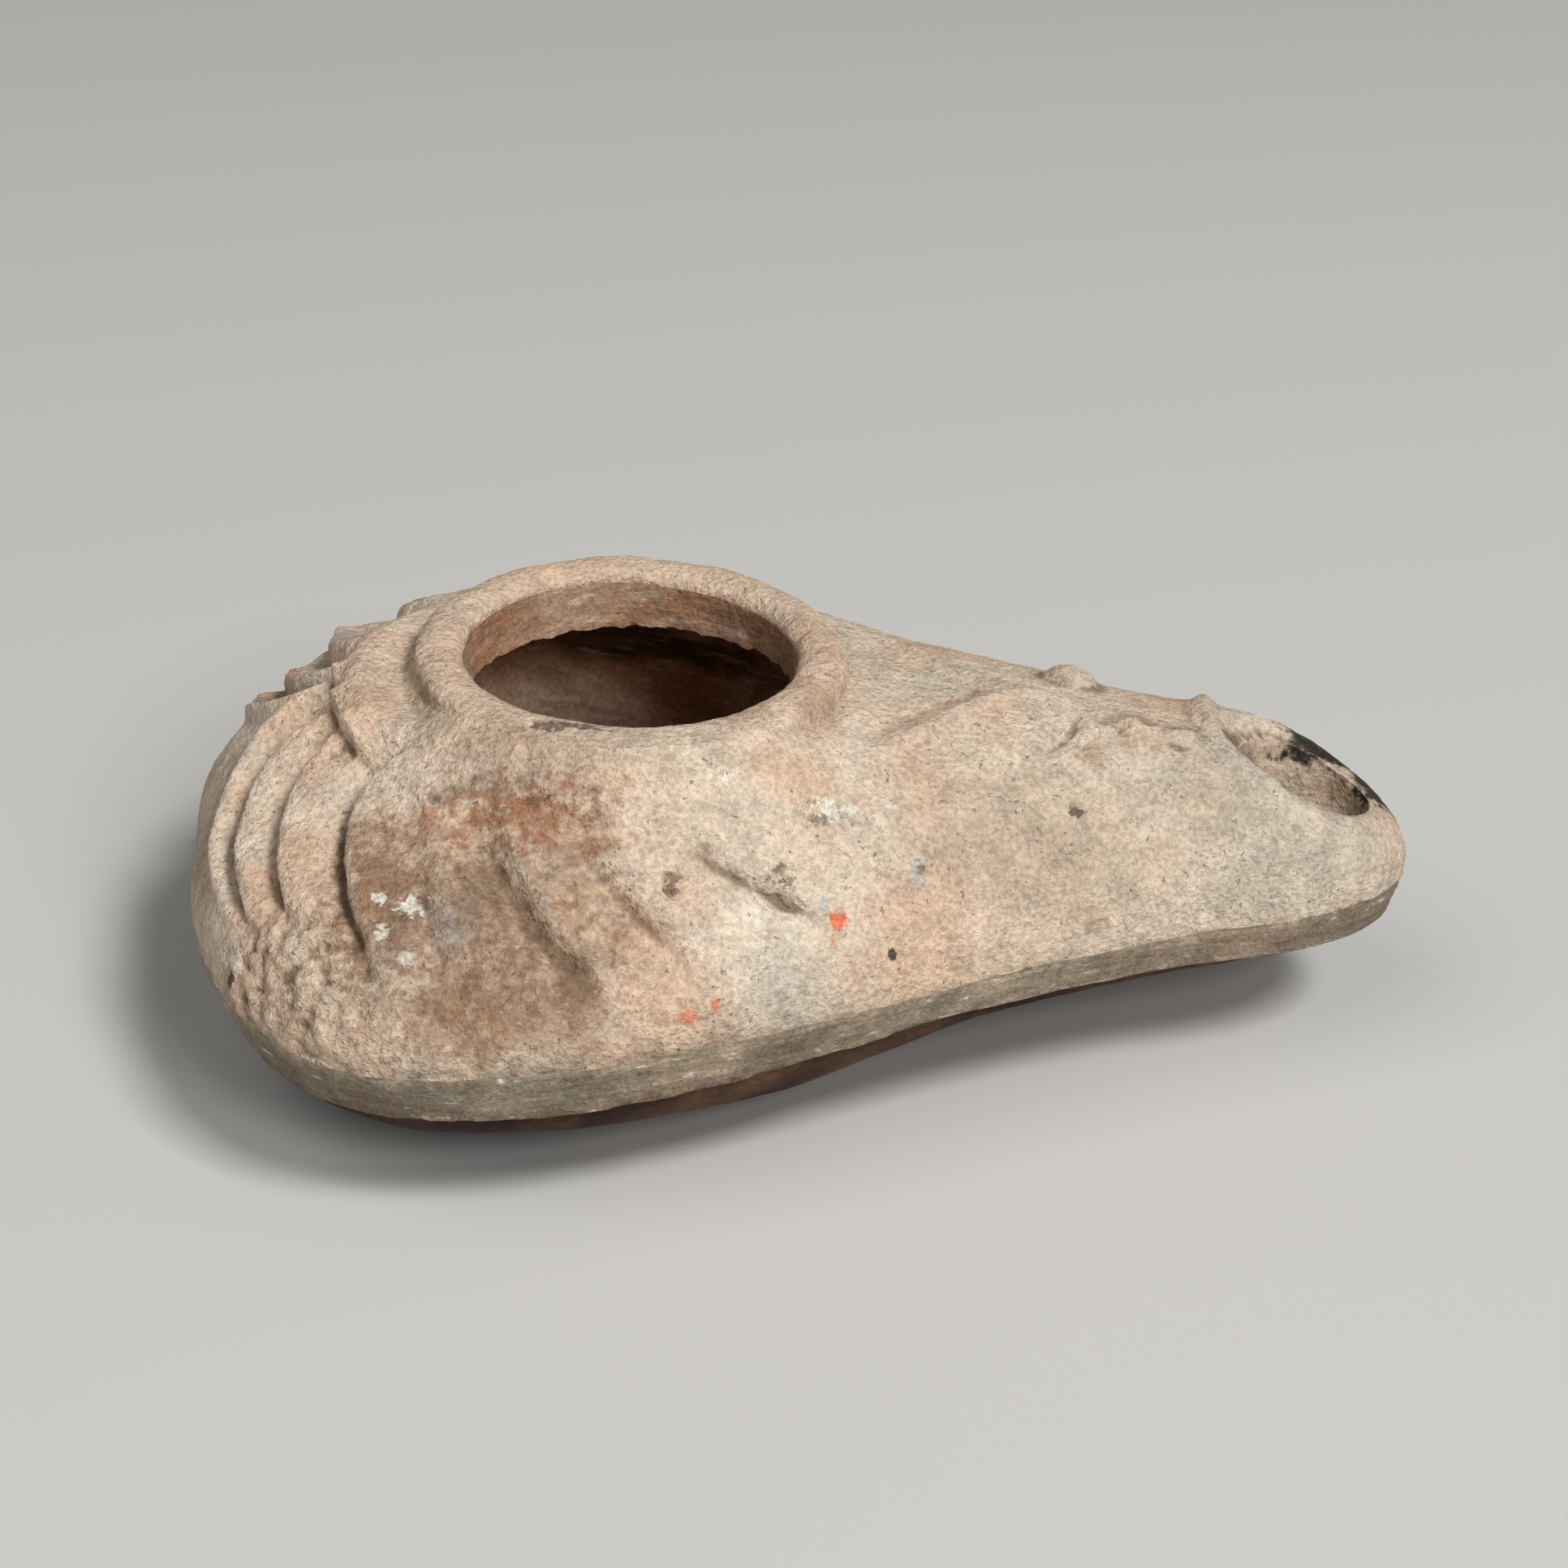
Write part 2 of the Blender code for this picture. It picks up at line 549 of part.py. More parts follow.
def wick_rim(tree):
    """The raised arc behind the wick hole."""
    path = []
    radii = []
    for step in range(WICK_RIM_STEPS + 1):
        share = 2.0 * step / WICK_RIM_STEPS - 1.0
        turn = WICK_RIM_TURN[0] + (WICK_RIM_TURN[1] - WICK_RIM_TURN[0]) * step / WICK_RIM_STEPS
        x = WICK_RIM_CENTRE[0] - WICK_RIM_RADIUS * math.cos(math.radians(turn))
        y = WICK_RIM_CENTRE[1] - WICK_RIM_RADIUS * math.sin(math.radians(turn))
        radius = RIDGE_RADIUS * (1.0 - 0.35 * share * share)
        path.append(on_surface(tree, x, y, RIDGE_PROUD * (1.0 - 0.6 * share * share), radius))
        radii.append(radius)
    return sweep(path, radii)


def knob(tree):
    """The round pellet on the far side of the nozzle's root."""
    bm = bmesh.new()
    bmesh.ops.create_icosphere(bm, subdivisions=2, radius=KNOB_RADIUS)
    centre = on_surface(tree, KNOB_ALONG, KNOB_ASIDE, KNOB_PROUD, KNOB_RADIUS)
    bmesh.ops.translate(bm, verts=bm.verts, vec=centre)
    return bm


def combine(body, tool, operation):
    """Add a Boolean modifier that keeps the exact solver."""
    step = body.modifiers.new(tool.name, "BOOLEAN")
    step.object = tool
    step.operation = operation
    step.solver = "EXACT"


def clay_material():
    """Pale buff fired clay."""
    material = bpy.data.materials.new("fired_clay")
    material.use_nodes = True
    shader = material.node_tree.nodes["Principled BSDF"]
    shader.inputs["Base Color"].default_value = CLAY_COLOUR
    shader.inputs["Roughness"].default_value = CLAY_ROUGHNESS
    shader.inputs["Metallic"].default_value = 0.0
    return material


def clear_scene():
    """Remove every object that is already in the file."""
    for item in list(bpy.data.objects):
        bpy.data.objects.remove(item, do_unlink=True)


def main():
    """Build the lamp."""
    clear_scene()
    bm = shell_mesh()
    tree = BVHTree.FromBMesh(bm)
    body = mesh_object("lamp_body", bm)
    body.data.materials.append(clay_material())
    body.data.shade_smooth()
    body.data.set_sharp_from_angle(angle=math.radians(40.0))
    combine(body, tool_object("near_ridge", collar_ridge(tree, -1.0, RIDGE_END)), "UNION")
    combine(body, tool_object("far_ridge", collar_ridge(tree, 1.0, RIDGE_MEET)), "UNION")
    combine(body, tool_object("wick_rim", wick_rim(tree)), "UNION")
    combine(body, tool_object("knob", knob(tree)), "UNION")
    combine(body, wick_cutter(), "DIFFERENCE")


main()
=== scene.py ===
"""The looks of a mould-made oil lamp of fired clay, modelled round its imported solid.

The lamp is one hollow, slipper-shaped shell. Here it gets the relief that the solid is too coarse for
(sharp ribs, moulded lines, worn and crusted clay, pits and a gritty wick hole) and its colours: pale
buff clay, a brown-red stain, lime, soot, and specks of red paint.
"""

import math

import bmesh
import bpy
import numpy as np
from bpy.props import FloatProperty, FloatVectorProperty, IntProperty, PointerProperty
from mathutils import Matrix, Vector, noise


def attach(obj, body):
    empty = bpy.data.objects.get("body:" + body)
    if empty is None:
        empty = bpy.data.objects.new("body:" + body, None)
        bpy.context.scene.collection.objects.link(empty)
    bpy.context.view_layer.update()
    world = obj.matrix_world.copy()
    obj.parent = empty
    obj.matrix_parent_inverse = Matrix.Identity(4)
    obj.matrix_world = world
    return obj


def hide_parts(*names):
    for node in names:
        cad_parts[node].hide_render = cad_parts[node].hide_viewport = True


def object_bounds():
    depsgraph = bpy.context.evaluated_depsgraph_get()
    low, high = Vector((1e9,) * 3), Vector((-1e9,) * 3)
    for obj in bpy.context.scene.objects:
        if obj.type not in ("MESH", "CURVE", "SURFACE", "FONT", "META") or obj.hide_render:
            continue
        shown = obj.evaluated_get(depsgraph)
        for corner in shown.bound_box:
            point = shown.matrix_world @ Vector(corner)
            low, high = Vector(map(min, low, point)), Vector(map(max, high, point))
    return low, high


bl_info = {
    "name": "Mould-made oil lamp",
    "version": (1, 0, 0),
    "blender": (4, 5, 0),
    "location": "3D View > Sidebar > Oil Lamp",
    "description": "Models a slipper-shaped oil lamp of fired clay, with its ribs, wear, stains and soot",
    "category": "Add Mesh",
}

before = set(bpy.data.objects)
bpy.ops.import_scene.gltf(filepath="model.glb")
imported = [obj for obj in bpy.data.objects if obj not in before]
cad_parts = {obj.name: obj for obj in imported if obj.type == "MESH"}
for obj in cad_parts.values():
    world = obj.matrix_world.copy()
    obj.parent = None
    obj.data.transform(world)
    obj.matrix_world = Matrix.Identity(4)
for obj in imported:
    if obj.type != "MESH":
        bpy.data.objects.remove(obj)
CAD_LOW, CAD_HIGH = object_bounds()

MM = 0.001

# Plan of the seam, where the two mould halves meet
WIDEST_BEHIND_HOLE = 13.9 * MM
BACK_SQUARENESS = 2.07
NOZZLE_STATION = 50.0 * MM
NOZZLE_TAPER = 0.245
TIP_FULLNESS = 0.55
OUTLINE_STEPS = 400
LEAST_HALF_WIDTH = 0.05 * MM

# Collar, crest of the nozzle, and the pared band below the seam
COLLAR_HEIGHT = 33.5 * MM
COLLAR_TILT = 0.8 * MM
COLLAR_HIGH_SIDE = 140.0
COLLAR_STAND = 2.2 * MM
CREST_BELOW_COLLAR = 3.6 * MM
CREST_DROP = 7.6 * MM
CREST_CURVE = 1.7
CREST_END = 61.5 * MM
TIP_ROUNDING = 10.0 * MM
BAND_HEIGHT = 4.4 * MM
BAND_HEIGHT_NOZZLE = 3.2 * MM
BAND_NARROWING = 30.0 * MM
BAND_UNDERCUT = 1.0 * MM
BAND_UNDERCUT_BACK = 1.7 * MM
BAND_UNDERCUT_FADE = 1.5 * WIDEST_BEHIND_HOLE
BAND_LEDGE = 0.4 * MM
COLLAR_INNER_EDGE = 1.2 * MM
HOLE_WALL = 5.6 * MM

# Wick hole
WICK_HOLE_CENTRE = 55.5 * MM
WICK_HOLE_FLARE = 0.2
WICK_DIP = 1.5 * MM
WICK_DIP_REACH = 2.4 * MM
WICK_DIP_LOSS_AT_TIP = 0.6
WICK_EDGE_DEPTH = 0.35 * MM
WICK_EDGE_WIDTH = 0.4 * MM
WICK_LIP_HEIGHT = 0.20 * MM
WICK_LIP_ASIDE = 0.8 * MM
WICK_LIP_HALF_WIDTH = 0.45 * MM
WICK_LIP_FADE = 2.0 * MM
WICK_WALL_ROUGHNESS = 0.28 * MM

# Thickness of the clay at the nozzle, at its tip and in the floor
NOZZLE_WALL = 4.8 * MM
TIP_WALL = 2.6 * MM
FLOOR_THICKNESS = 3.2 * MM

# Flat base
BASE_CENTRE = 5.0 * MM
BASE_HALF_LENGTH = 17.0 * MM
BASE_HALF_WIDTH = 15.0 * MM
BASE_STEP = 0.8 * MM

# Profiles: how full the shoulder, the underside, the cavity and the collar are, and how they blend
SHOULDER_RISE = 1.15
SHOULDER_FULLNESS = 1.85
CAVITY_RISE = 1.5
UNDERSIDE_RISE = 1.3
UNDERSIDE_FULLNESS = 1.65
SECTION_SQUARENESS = 2.0
SECTION_SQUARENESS_AT_WICK = 3.4
SQUARING_REACH = 16.0 * MM
KEEL_CURVE = 1.05
KEEL_FULLNESS = 1.3
KEEL_BLEND = 10.0 * MM
KEEL_FADE = 0.35
CREST_BLEND_START = 0.25
COLLAR_ROUNDNESS = 0.8

# Terrace round the back of the collar, and the groove and fillet at the collar's foot
TERRACE_HEIGHT = 1.6 * MM
TERRACE_START = 1.4 * MM
TERRACE_WIDTH = 5.0 * MM
TERRACE_EDGE = 0.9 * MM
FOOT_GROOVE_DEPTH = 0.55 * MM
FOOT_GROOVE_WIDTH = 0.8 * MM
FOOT_FILLET = 1.3 * MM
FOOT_FILLET_REACH = 4.0 * MM
TERRACE_FADE_FAR = (133.0, 178.0)
TERRACE_FADE_NEAR = (140.0, 158.0)
GROOVE_FADE = (40.0, 75.0)
FILLET_FADE_FRONT = (25.0, 50.0)
FILLET_FADE_BACK = (130.0, 155.0)

# Grooves between the ribs: start angle from the nozzle, sweep, curl, inner and outer radius, depth,
# width of the steep side, and how far the rib's crest stands up beside it
RIB_GROOVES = (
    (173.0, 21.0, 2.0, 23.5 * MM, 36.0 * MM, 1.7 * MM, 1.6 * MM, 0.7 * MM),
    (161.0, 22.0, 1.5, 23.5 * MM, 35.5 * MM, 1.4 * MM, 1.2 * MM, 0.6 * MM),
    (142.5, 18.0, 1.5, 22.5 * MM, 36.0 * MM, 1.4 * MM, 1.1 * MM, 0.5 * MM),
    (131.0, 20.0, 0.8, 24.5 * MM, 34.5 * MM, 0.45 * MM, 1.4 * MM, 0.05 * MM),
    (114.0, 30.0, 1.3, 24.5 * MM, 32.0 * MM, 1.3 * MM, 2.6 * MM, 0.0 * MM),
    (96.0, 30.0, 1.0, 22.5 * MM, 29.5 * MM, 0.7 * MM, 2.2 * MM, 0.0 * MM),
    (73.0, 36.0, 1.0, 23.5 * MM, 29.0 * MM, 0.9 * MM, 1.2 * MM, 0.0 * MM),
    (56.0, 25.0, 1.0, 25.0 * MM, 30.0 * MM, 0.4 * MM, 1.4 * MM, 0.0 * MM),
)
RIB_ROOT_RADIUS = 24.0 * MM
SWEEP_REACH = 10.0 * MM
GROOVE_GENTLE_SIDE = 2.9 * MM
GROOVE_FULLNESS = 1.5
GROOVE_RUN_OUT = 2.0 * MM
RIB_FALL = 3.0 * MM
REAR_RIB_RISE = 1.5 * MM
REAR_RIB_ASIDE = 3.6 * MM
REAR_RIB_HALF_WIDTH = 1.8 * MM
FAR_RIB_SHIFT = 5.0
FAR_RIB_FADE = (0.0, 25.0)
FAR_RIB_SOFTNESS = 1.2

# Broad swells and sinks of the clay at the back and the far side, in millimetres: centre, reach, height
SWELLS = (
    ((-34.0, 3.0, 19.5), 5.5, 0.85),
    ((-32.3, 10.9, 20.3), 2.4, -1.10),
    ((-32.0, 14.5, 19.6), 2.6, 1.00),
    ((-29.5, 18.0, 21.0), 3.0, -0.40),
    ((-26.6, 20.2, 23.0), 1.8, 0.60),
    ((-22.0, 20.8, 25.4), 3.2, -1.30),
)

# Raised lines on the nozzle: the two lines from the collar, the arc behind the wick hole, the knob
RIDGE_HALF_WIDTH = 0.75 * MM
RIDGE_NEAR_SHARE = 0.65
RIDGE_FAR_SHARE = 0.35
RIDGE_SPREAD = 11.6 * MM
RIDGE_START = 19.0 * MM
RIDGE_MEET = 31.0 * MM
RIDGE_END = 36.0 * MM
RIDGE_BEND = 1.15
RIDGE_POINTS = 16
RIDGE_RISE_BY = 0.12
RIDGE_FALL_FROM = 0.8
RIDGE_FALL = 0.4
PANEL_DEPTH = 0.35 * MM
PANEL_SLOPE = 2.6 * MM
PANEL_FADE = 3.0 * MM
PANEL_LEAD = 1.0 * MM
WICK_RIM_RADIUS = 12.5 * MM
WICK_RIM_CENTRE = (59.4 * MM, 3.7 * MM)
WICK_RIM_TURN = (-20.0, 50.0)
WICK_RIM_FADE = 8.0
WICK_RIM_HALF_WIDTH = 0.85 * MM
WICK_RIM_HEIGHT = 0.8 * MM
KNOB_RADIUS = 2.3 * MM
KNOB_PROUD = 1.3 * MM
KNOB_FULLNESS = 0.7
KNOB_PLACE = (36.0 * MM, 5.4 * MM)

# Fine incised or raised strokes below the knob, in millimetres: points, height, half width
STROKES = (
    (((35.7, -2.2), (35.9, -3.8), (34.6, -6.0), (32.6, -8.0)), -0.35, 0.45),
    (((35.9, -3.8), (37.0, -5.6), (38.6, -7.4)), 0.30, 0.70),
    (((43.0, -3.0), (44.2, -4.0), (45.6, -3.4)), -0.30, 0.30),
)
STROKE_RISE_BY = 0.15
STROKE_FALL_FROM = 0.8

# Crusted lumps and broken spots of the top, in millimetres: x, y, reach, height, unevenness
SPOTS = (
    (38.2, -2.4, 1.7, 0.55, 0.50),
    (41.2, -2.6, 1.7, 0.60, 0.60),
    (45.0, -2.8, 1.6, 0.30, 0.45),
    (-14.4, -27.4, 1.3, 0.20, 0.35),
    (15.9, -17.3, 1.4, 0.22, 0.35),
    (20.3, -15.6, 0.9, 0.28, 0.30),
    (4.4, -24.8, 1.3, -0.25, 0.55),
    (12.6, -22.7, 1.5, -0.25, 0.60),
    (22.7, -19.2, 1.2, -0.15, 0.30),
    (7.0, -17.6, 2.2, 0.08, 0.16),
    (-22.0, -11.2, 1.1, -0.55, 0.50),
    (-23.0, -7.8, 0.8, -0.45, 0.45),
    (-30.9, 12.0, 3.0, -0.10, 0.28),
    (16.4, 25.8, 2.0, -0.20, 0.40),
)

# Left edge of the flaked, smoother patch beside the stain, in millimetres
FLAKE_EDGE = (
    (4.2, -25.0), (4.5, -26.2), (6.4, -27.1), (7.9, -28.4), (8.3, -29.7), (7.1, -30.7), (5.9, -31.6),
)
FLAKE_STEP_WIDTH = 0.35
FLAKE_CRUST_REACH = 4.5
FLAKE_WANDER = 0.5
FLAKE_FADE = 2.0

# Worn, lumpy clay low on the near shoulder's back, in millimetres: centre and reach
WORN_PLACE = (-22.5, -28.5, 18.5)
WORN_REACH = (10.0, 9.0, 6.5)
WORN_EDGE = (0.45, 1.15)
WORN_RIB_LOSS = 0.75
WORN_LUMP_SHARE = 1.6
WORN_MIDDLE_SHARE = 0.6
WORN_SINK = 0.35
WORN_PIT_SHARE = 0.5

# Dent in the collar's far side: the rim is lower in front of this angle, and fades back to its height
COLLAR_DENT_ANGLE = 89.0
COLLAR_DENT = 0.25 * MM
COLLAR_DENT_STEP = 3.0
COLLAR_DENT_FADE = (-20.0, 25.0)

# The rim's smooth form lies this much below the solid's, to leave room for its unevenness
RIM_ROOM = 0.2 * MM

# Unevenness of the clay: the size of its lumps, or one size for each axis, the octaves and the seed
BROAD_LUMPS = (7.0 * MM, 2, 3.0)
MIDDLE_LUMPS = (1.9 * MM, 3, 11.0)
FINE_LUMPS = (0.8 * MM, 2, 23.0)
WORN_LUMPS = (1.3 * MM, 4, 41.0)
KNIFE_STROKES = (np.array([9.0, 9.0, 0.55]) * MM, 3, 7.0)
BAND_FLAKES = (np.array([2.6, 2.6, 0.9]) * MM, 2, 19.0)
HAND_STROKES = (np.array([5.0, 5.0, 1.2]) * MM, 3, 31.0)
TURNING_MARKS = (np.array([6.0, 6.0, 0.45]) * MM, 3, 13.0)
HOLE_WALL_LUMPS = (1.1 * MM, 3, 29.0)
HOLE_EDGE_TEARS = (1.6 * MM, 3, 5.0)
FINGER_MARKS = (np.array([9.0, 9.0, 2.6]) * MM, 3, 37.0)
WICK_WALL_LUMPS = (2.2 * MM, 4, 53.0)

# Scattered pits: their spacing and radius, the share of places that have one, and the seed
SHOULDER_PITS = (2.3 * MM, 0.42 * MM, 0.22, 17.0)
WORN_PITS = (1.3 * MM, 0.45 * MM, 0.5, 5.0)
PIT_CHOICE_SCALE = 7.3

# Heights and shares of that unevenness, and how far the seam is rounded and chipped
RIB_WAVER = 0.22 * MM
MIDDLE_SHARE = 0.4
SPOT_FINE_SHARE = 0.6
COLLAR_BLEND = 0.5 * MM
SEAM_ROUNDING = 0.30 * MM
SEAM_ROUNDING_REACH = 1.6 * MM
SEAM_ROUNDING_FADE = (5.0 * MM, 25.0 * MM)
SEAM_CHIPS = 0.12 * MM
SEAM_CHIPS_REACH = 0.7 * MM
BAND_TOP_CHIPS = 0.15 * MM
BAND_TOP_CHIPS_REACH = 0.6 * MM
BAND_FOOT_CHIPS = 0.15 * MM
BAND_FOOT_CHIPS_FROM = (2.2 * MM, 4.0 * MM)
BAND_FOOT_CHIPS_WHERE = (-0.1, 0.5)
KNIFE_DEPTH = 0.14 * MM
FLAKE_HEIGHT = 0.08 * MM
HAND_STROKE_DEPTH = 0.07 * MM
HAND_STROKE_SINK = 0.05 * MM
BASE_FADE = 2.5 * MM
TURNING_DEPTH = 0.07 * MM
FINGER_DEPTH = 0.42 * MM
TORN_EDGE = 0.35 * MM
RELIEF_FADE = (0.3 * MM, 3.0 * MM)

# Depth of the finest grain in each kind of clay
SHOULDER_GRAIN_DEPTH = 0.34 * MM
BAND_GRAIN_DEPTH = 0.16 * MM
UNDERSIDE_GRAIN_DEPTH = 0.12 * MM
CHAMBER_GRAIN_DEPTH = 0.14 * MM
BURNT_GRAIN_DEPTH = 0.22 * MM

# Mesh: the rows in each stretch, how columns crowd and sweep, and the span over which relief is shaded
BASE_ROWS = 5
UNDERSIDE_ROWS = 22
BAND_ROWS = 8
SHOULDER_ROWS = 104
COLLAR_ROWS = 18
HOLE_WALL_ROWS = 8
CEILING_ROWS = 10
FLOOR_ROWS = 12
SIDE_TURN = 0.3
COLUMN_CROWDING = 0.30
COLUMN_SWEEP = 0.30
COLUMN_SWEEP_POWER = 1.6
POLE_SHARE = 0.02
SHADE_ROWS = 3
SHADE_DEPTH = 0.35 * MM
WICK_COLUMNS = 120
WICK_ROWS = 16
WICK_ROW_CROWDING = 1.5
SHARP_ANGLE = 55.0

# Camera of the photograph: its aim, distance, tilt, roll and focal length for a 1932-pixel frame
IMAGE_SIDE = 1932
FOCAL_PIXELS = 3746.2
SENSOR_WIDTH = 36.0
CAMERA_AIM = (12.509 * MM, 0.0, 20.191 * MM)
CAMERA_DISTANCE = 250.0 * MM
CAMERA_ELEVATION = 28.447
CAMERA_ROLL = 1.0
CAMERA_NEAR = 0.01
CAMERA_FAR = 100.0

# Where the lights stand, seen from the lamp
KEY_TOWARD = (0.42, -0.42, 0.80)
LOW_TOWARD = (0.42, -0.72, 0.55)
FILL_TOWARD = (-0.50, -0.35, 0.79)
KEY_DISTANCE = 1.6
FILL_DISTANCE = 1.2
KEY_SIDE = 0.40
FILL_SIDE = 0.90

# Floor, and how much the floor and the dry clay shine
FLOOR_RADIUS = 20.0
FLOOR_SIDES = 64
FLOOR_GLOSS = 0.1
FLOOR_ROUGHNESS = 0.95
CLAY_GLOSS = 0.25


def paint(red, green, blue):
    """A shader colour from display values of 0 to 255."""
    shares = [value / 255.0 for value in (red, green, blue)]
    linear = [share / 12.92 if share <= 0.04045 else ((share + 0.055) / 1.055) ** 2.4 for share in shares]
    return (*linear, 1.0)


def length_setting(name, description, default):
    """A property that holds a length in metres."""
    return FloatProperty(name=name, description=description, default=default, min=0.0, precision=5,
                         subtype="DISTANCE", unit="LENGTH")


def colour_setting(name, description, red, green, blue):
    """A property that holds a colour."""
    return FloatVectorProperty(name=name, description=description, default=paint(red, green, blue), size=4,
                               min=0.0, max=1.0, subtype="COLOR")


def power_setting(name, description, default):
    """A property that holds a light's power in watts."""
    return FloatProperty(name=name, description=description, default=default, min=0.0, unit="POWER")


class LampForm(bpy.types.PropertyGroup):
    """Sizes of the shell."""

    back_reach: length_setting("Back", "From the filling hole's centre to the back", -CAD_LOW.x)
    tip_reach: length_setting("Tip", "From the filling hole's centre to the nozzle's tip", CAD_HIGH.x)
    half_width: length_setting("Half width", "Half the width of the body", CAD_HIGH.y)
    seam_height: length_setting("Seam height", "Height of the seam between the mould halves", 14.3 * MM)
    hole_radius: length_setting("Hole radius", "Radius of the filling hole", 13.4 * MM)
    collar_width: length_setting("Collar width", "Width of the collar round the filling hole", 4.2 * MM)
    nozzle_half_width: length_setting("Nozzle half width", "Half the width of the nozzle", 11.9 * MM)
    wick_hole_length: length_setting("Wick hole length", "Length of the wick hole", 11.6 * MM)
    wick_hole_width: length_setting("Wick hole width", "Width of the wick hole", 10.2 * MM)
    wall: length_setting("Wall", "Thickness of the clay", 3.2 * MM)
    columns: IntProperty(name="Columns", description="Vertices round the shell", default=480, min=48)


class LampRelief(bpy.types.PropertyGroup):
    """Depths and heights of the surface's relief."""

    rib_depth: FloatProperty(name="Rib depth", description="Share of the ribs' full depth", default=1.0)
    line_height: length_setting("Line height", "How far the moulded lines stand out", 0.65 * MM)
    lump_height: length_setting("Lump height", "Height of the broad unevenness of the clay", 0.16 * MM)
    grit_height: length_setting("Grit height", "Height of the fine unevenness of the clay", 0.05 * MM)
    pit_depth: length_setting("Pit depth", "Depth of the scattered pits", 0.16 * MM)
    wear_depth: length_setting("Wear depth", "Height of the lumps in the worn clay", 0.30 * MM)
    crust_height: length_setting("Crust height", "Height of the crust's broken edge", 0.28 * MM)


class LampColours(bpy.types.PropertyGroup):
    """Colours of the clay and of what is on it, some of them also laid as painted light and shade."""

    clay: colour_setting("Clay", "Pale buff clay of the shoulder", 207, 189, 168)
    pink_clay_and_light: colour_setting("Pink clay", "Warmer clay of the collar and the ribs", 204, 174, 148)
    grey_clay: colour_setting("Grey clay", "Greyer clay towards the nozzle's tip", 176, 168, 152)
    worn_clay: colour_setting("Worn clay", "Clay laid bare by wear", 180, 160, 138)
    # This colour is dirt, and is also laid in the hollows as painted shade
    dirt: colour_setting("Dirt", "Dirt in the grooves and pits", 112, 90, 71)
    stain: colour_setting("Stain", "Brown stain on the near shoulder", 132, 99, 73)
    rust: colour_setting("Rust", "Red-brown band above the stain", 143, 97, 66)
    # Lime crust colour, also laid softly on the near shoulder as painted light
    lime_and_light: colour_setting("Lime", "Lime crust", 230, 226, 210)
    mineral: colour_setting("Mineral", "Blue-grey deposit", 164, 170, 168)
    red_paint: colour_setting("Red paint", "Specks of red paint", 222, 112, 78)
    soot_and_shade: colour_setting("Soot", "Soot round the wick hole", 36, 32, 29)
    burnt_clay: colour_setting("Burnt clay", "Gritty wall of the wick hole", 150, 132, 110)
    # Greyer pared clay, made darker partly as painted shade for the shade below the seam
    band_clay: colour_setting("Band clay", "Pared clay below the seam", 128, 118, 102)
    # Red-brown clay, darkened far below its own colour as painted shade for the shadow under the lamp
    underside: colour_setting("Underside", "Red-brown clay of the underside", 46, 29, 21)
    chamber: colour_setting("Chamber", "Clay inside the lamp", 166, 120, 90)


class StudioSettings(bpy.types.PropertyGroup):
    """Floor and lights."""

    floor: colour_setting("Floor", "Colour of the floor", 206, 204, 200)
    key_power: power_setting("Key light", "Power of the main light", 17.5)
    low_power: power_setting("Low light", "Power of the low light that reaches the chamber", 8.0)
    fill_power: power_setting("Fill light", "Power of the fill light", 3.6)
    sky_strength: FloatProperty(name="Sky", description="Strength of the light from all round",
                                default=0.07, min=0.0)


def ramp(low, high, value):
    """Smooth step from 0 at low to 1 at high."""
    share = np.clip((value - low) / (high - low), 0.0, 1.0)
    return share * share * (3.0 - 2.0 * share)


def arch(share, rise, fullness):
    """Height share of a dome, 1 at share 0 and 0 at share 1."""
    return np.maximum(1.0 - share ** rise, 0.0) ** (1.0 / fullness)


def collar_angle(turn):
    """Angle round the collar of a column, swept back from the seam as the ribs are."""
    half = 2.0 * np.where(turn <= 0.5, turn, 1.0 - turn)
    side = np.where(turn <= 0.5, 1.0, -1.0)
    return 2.0 * math.pi * turn + side * COLUMN_SWEEP * np.sin(math.pi * half ** COLUMN_SWEEP_POWER)


def collar_top(angle):
    """Height of the collar's rim, which is a little lower in front than at its back."""
    tilt = COLLAR_TILT * (1.0 - np.cos(angle - math.radians(COLLAR_HIGH_SIDE))) / 2.0
    return COLLAR_HEIGHT - RIM_ROOM - tilt


def near_side(angle):
    """Share of the fillet at this angle in degrees: 1 along the collar's near side."""
    return ramp(*FILLET_FADE_FRONT, -angle) * (1.0 - ramp(*FILLET_FADE_BACK, -angle))


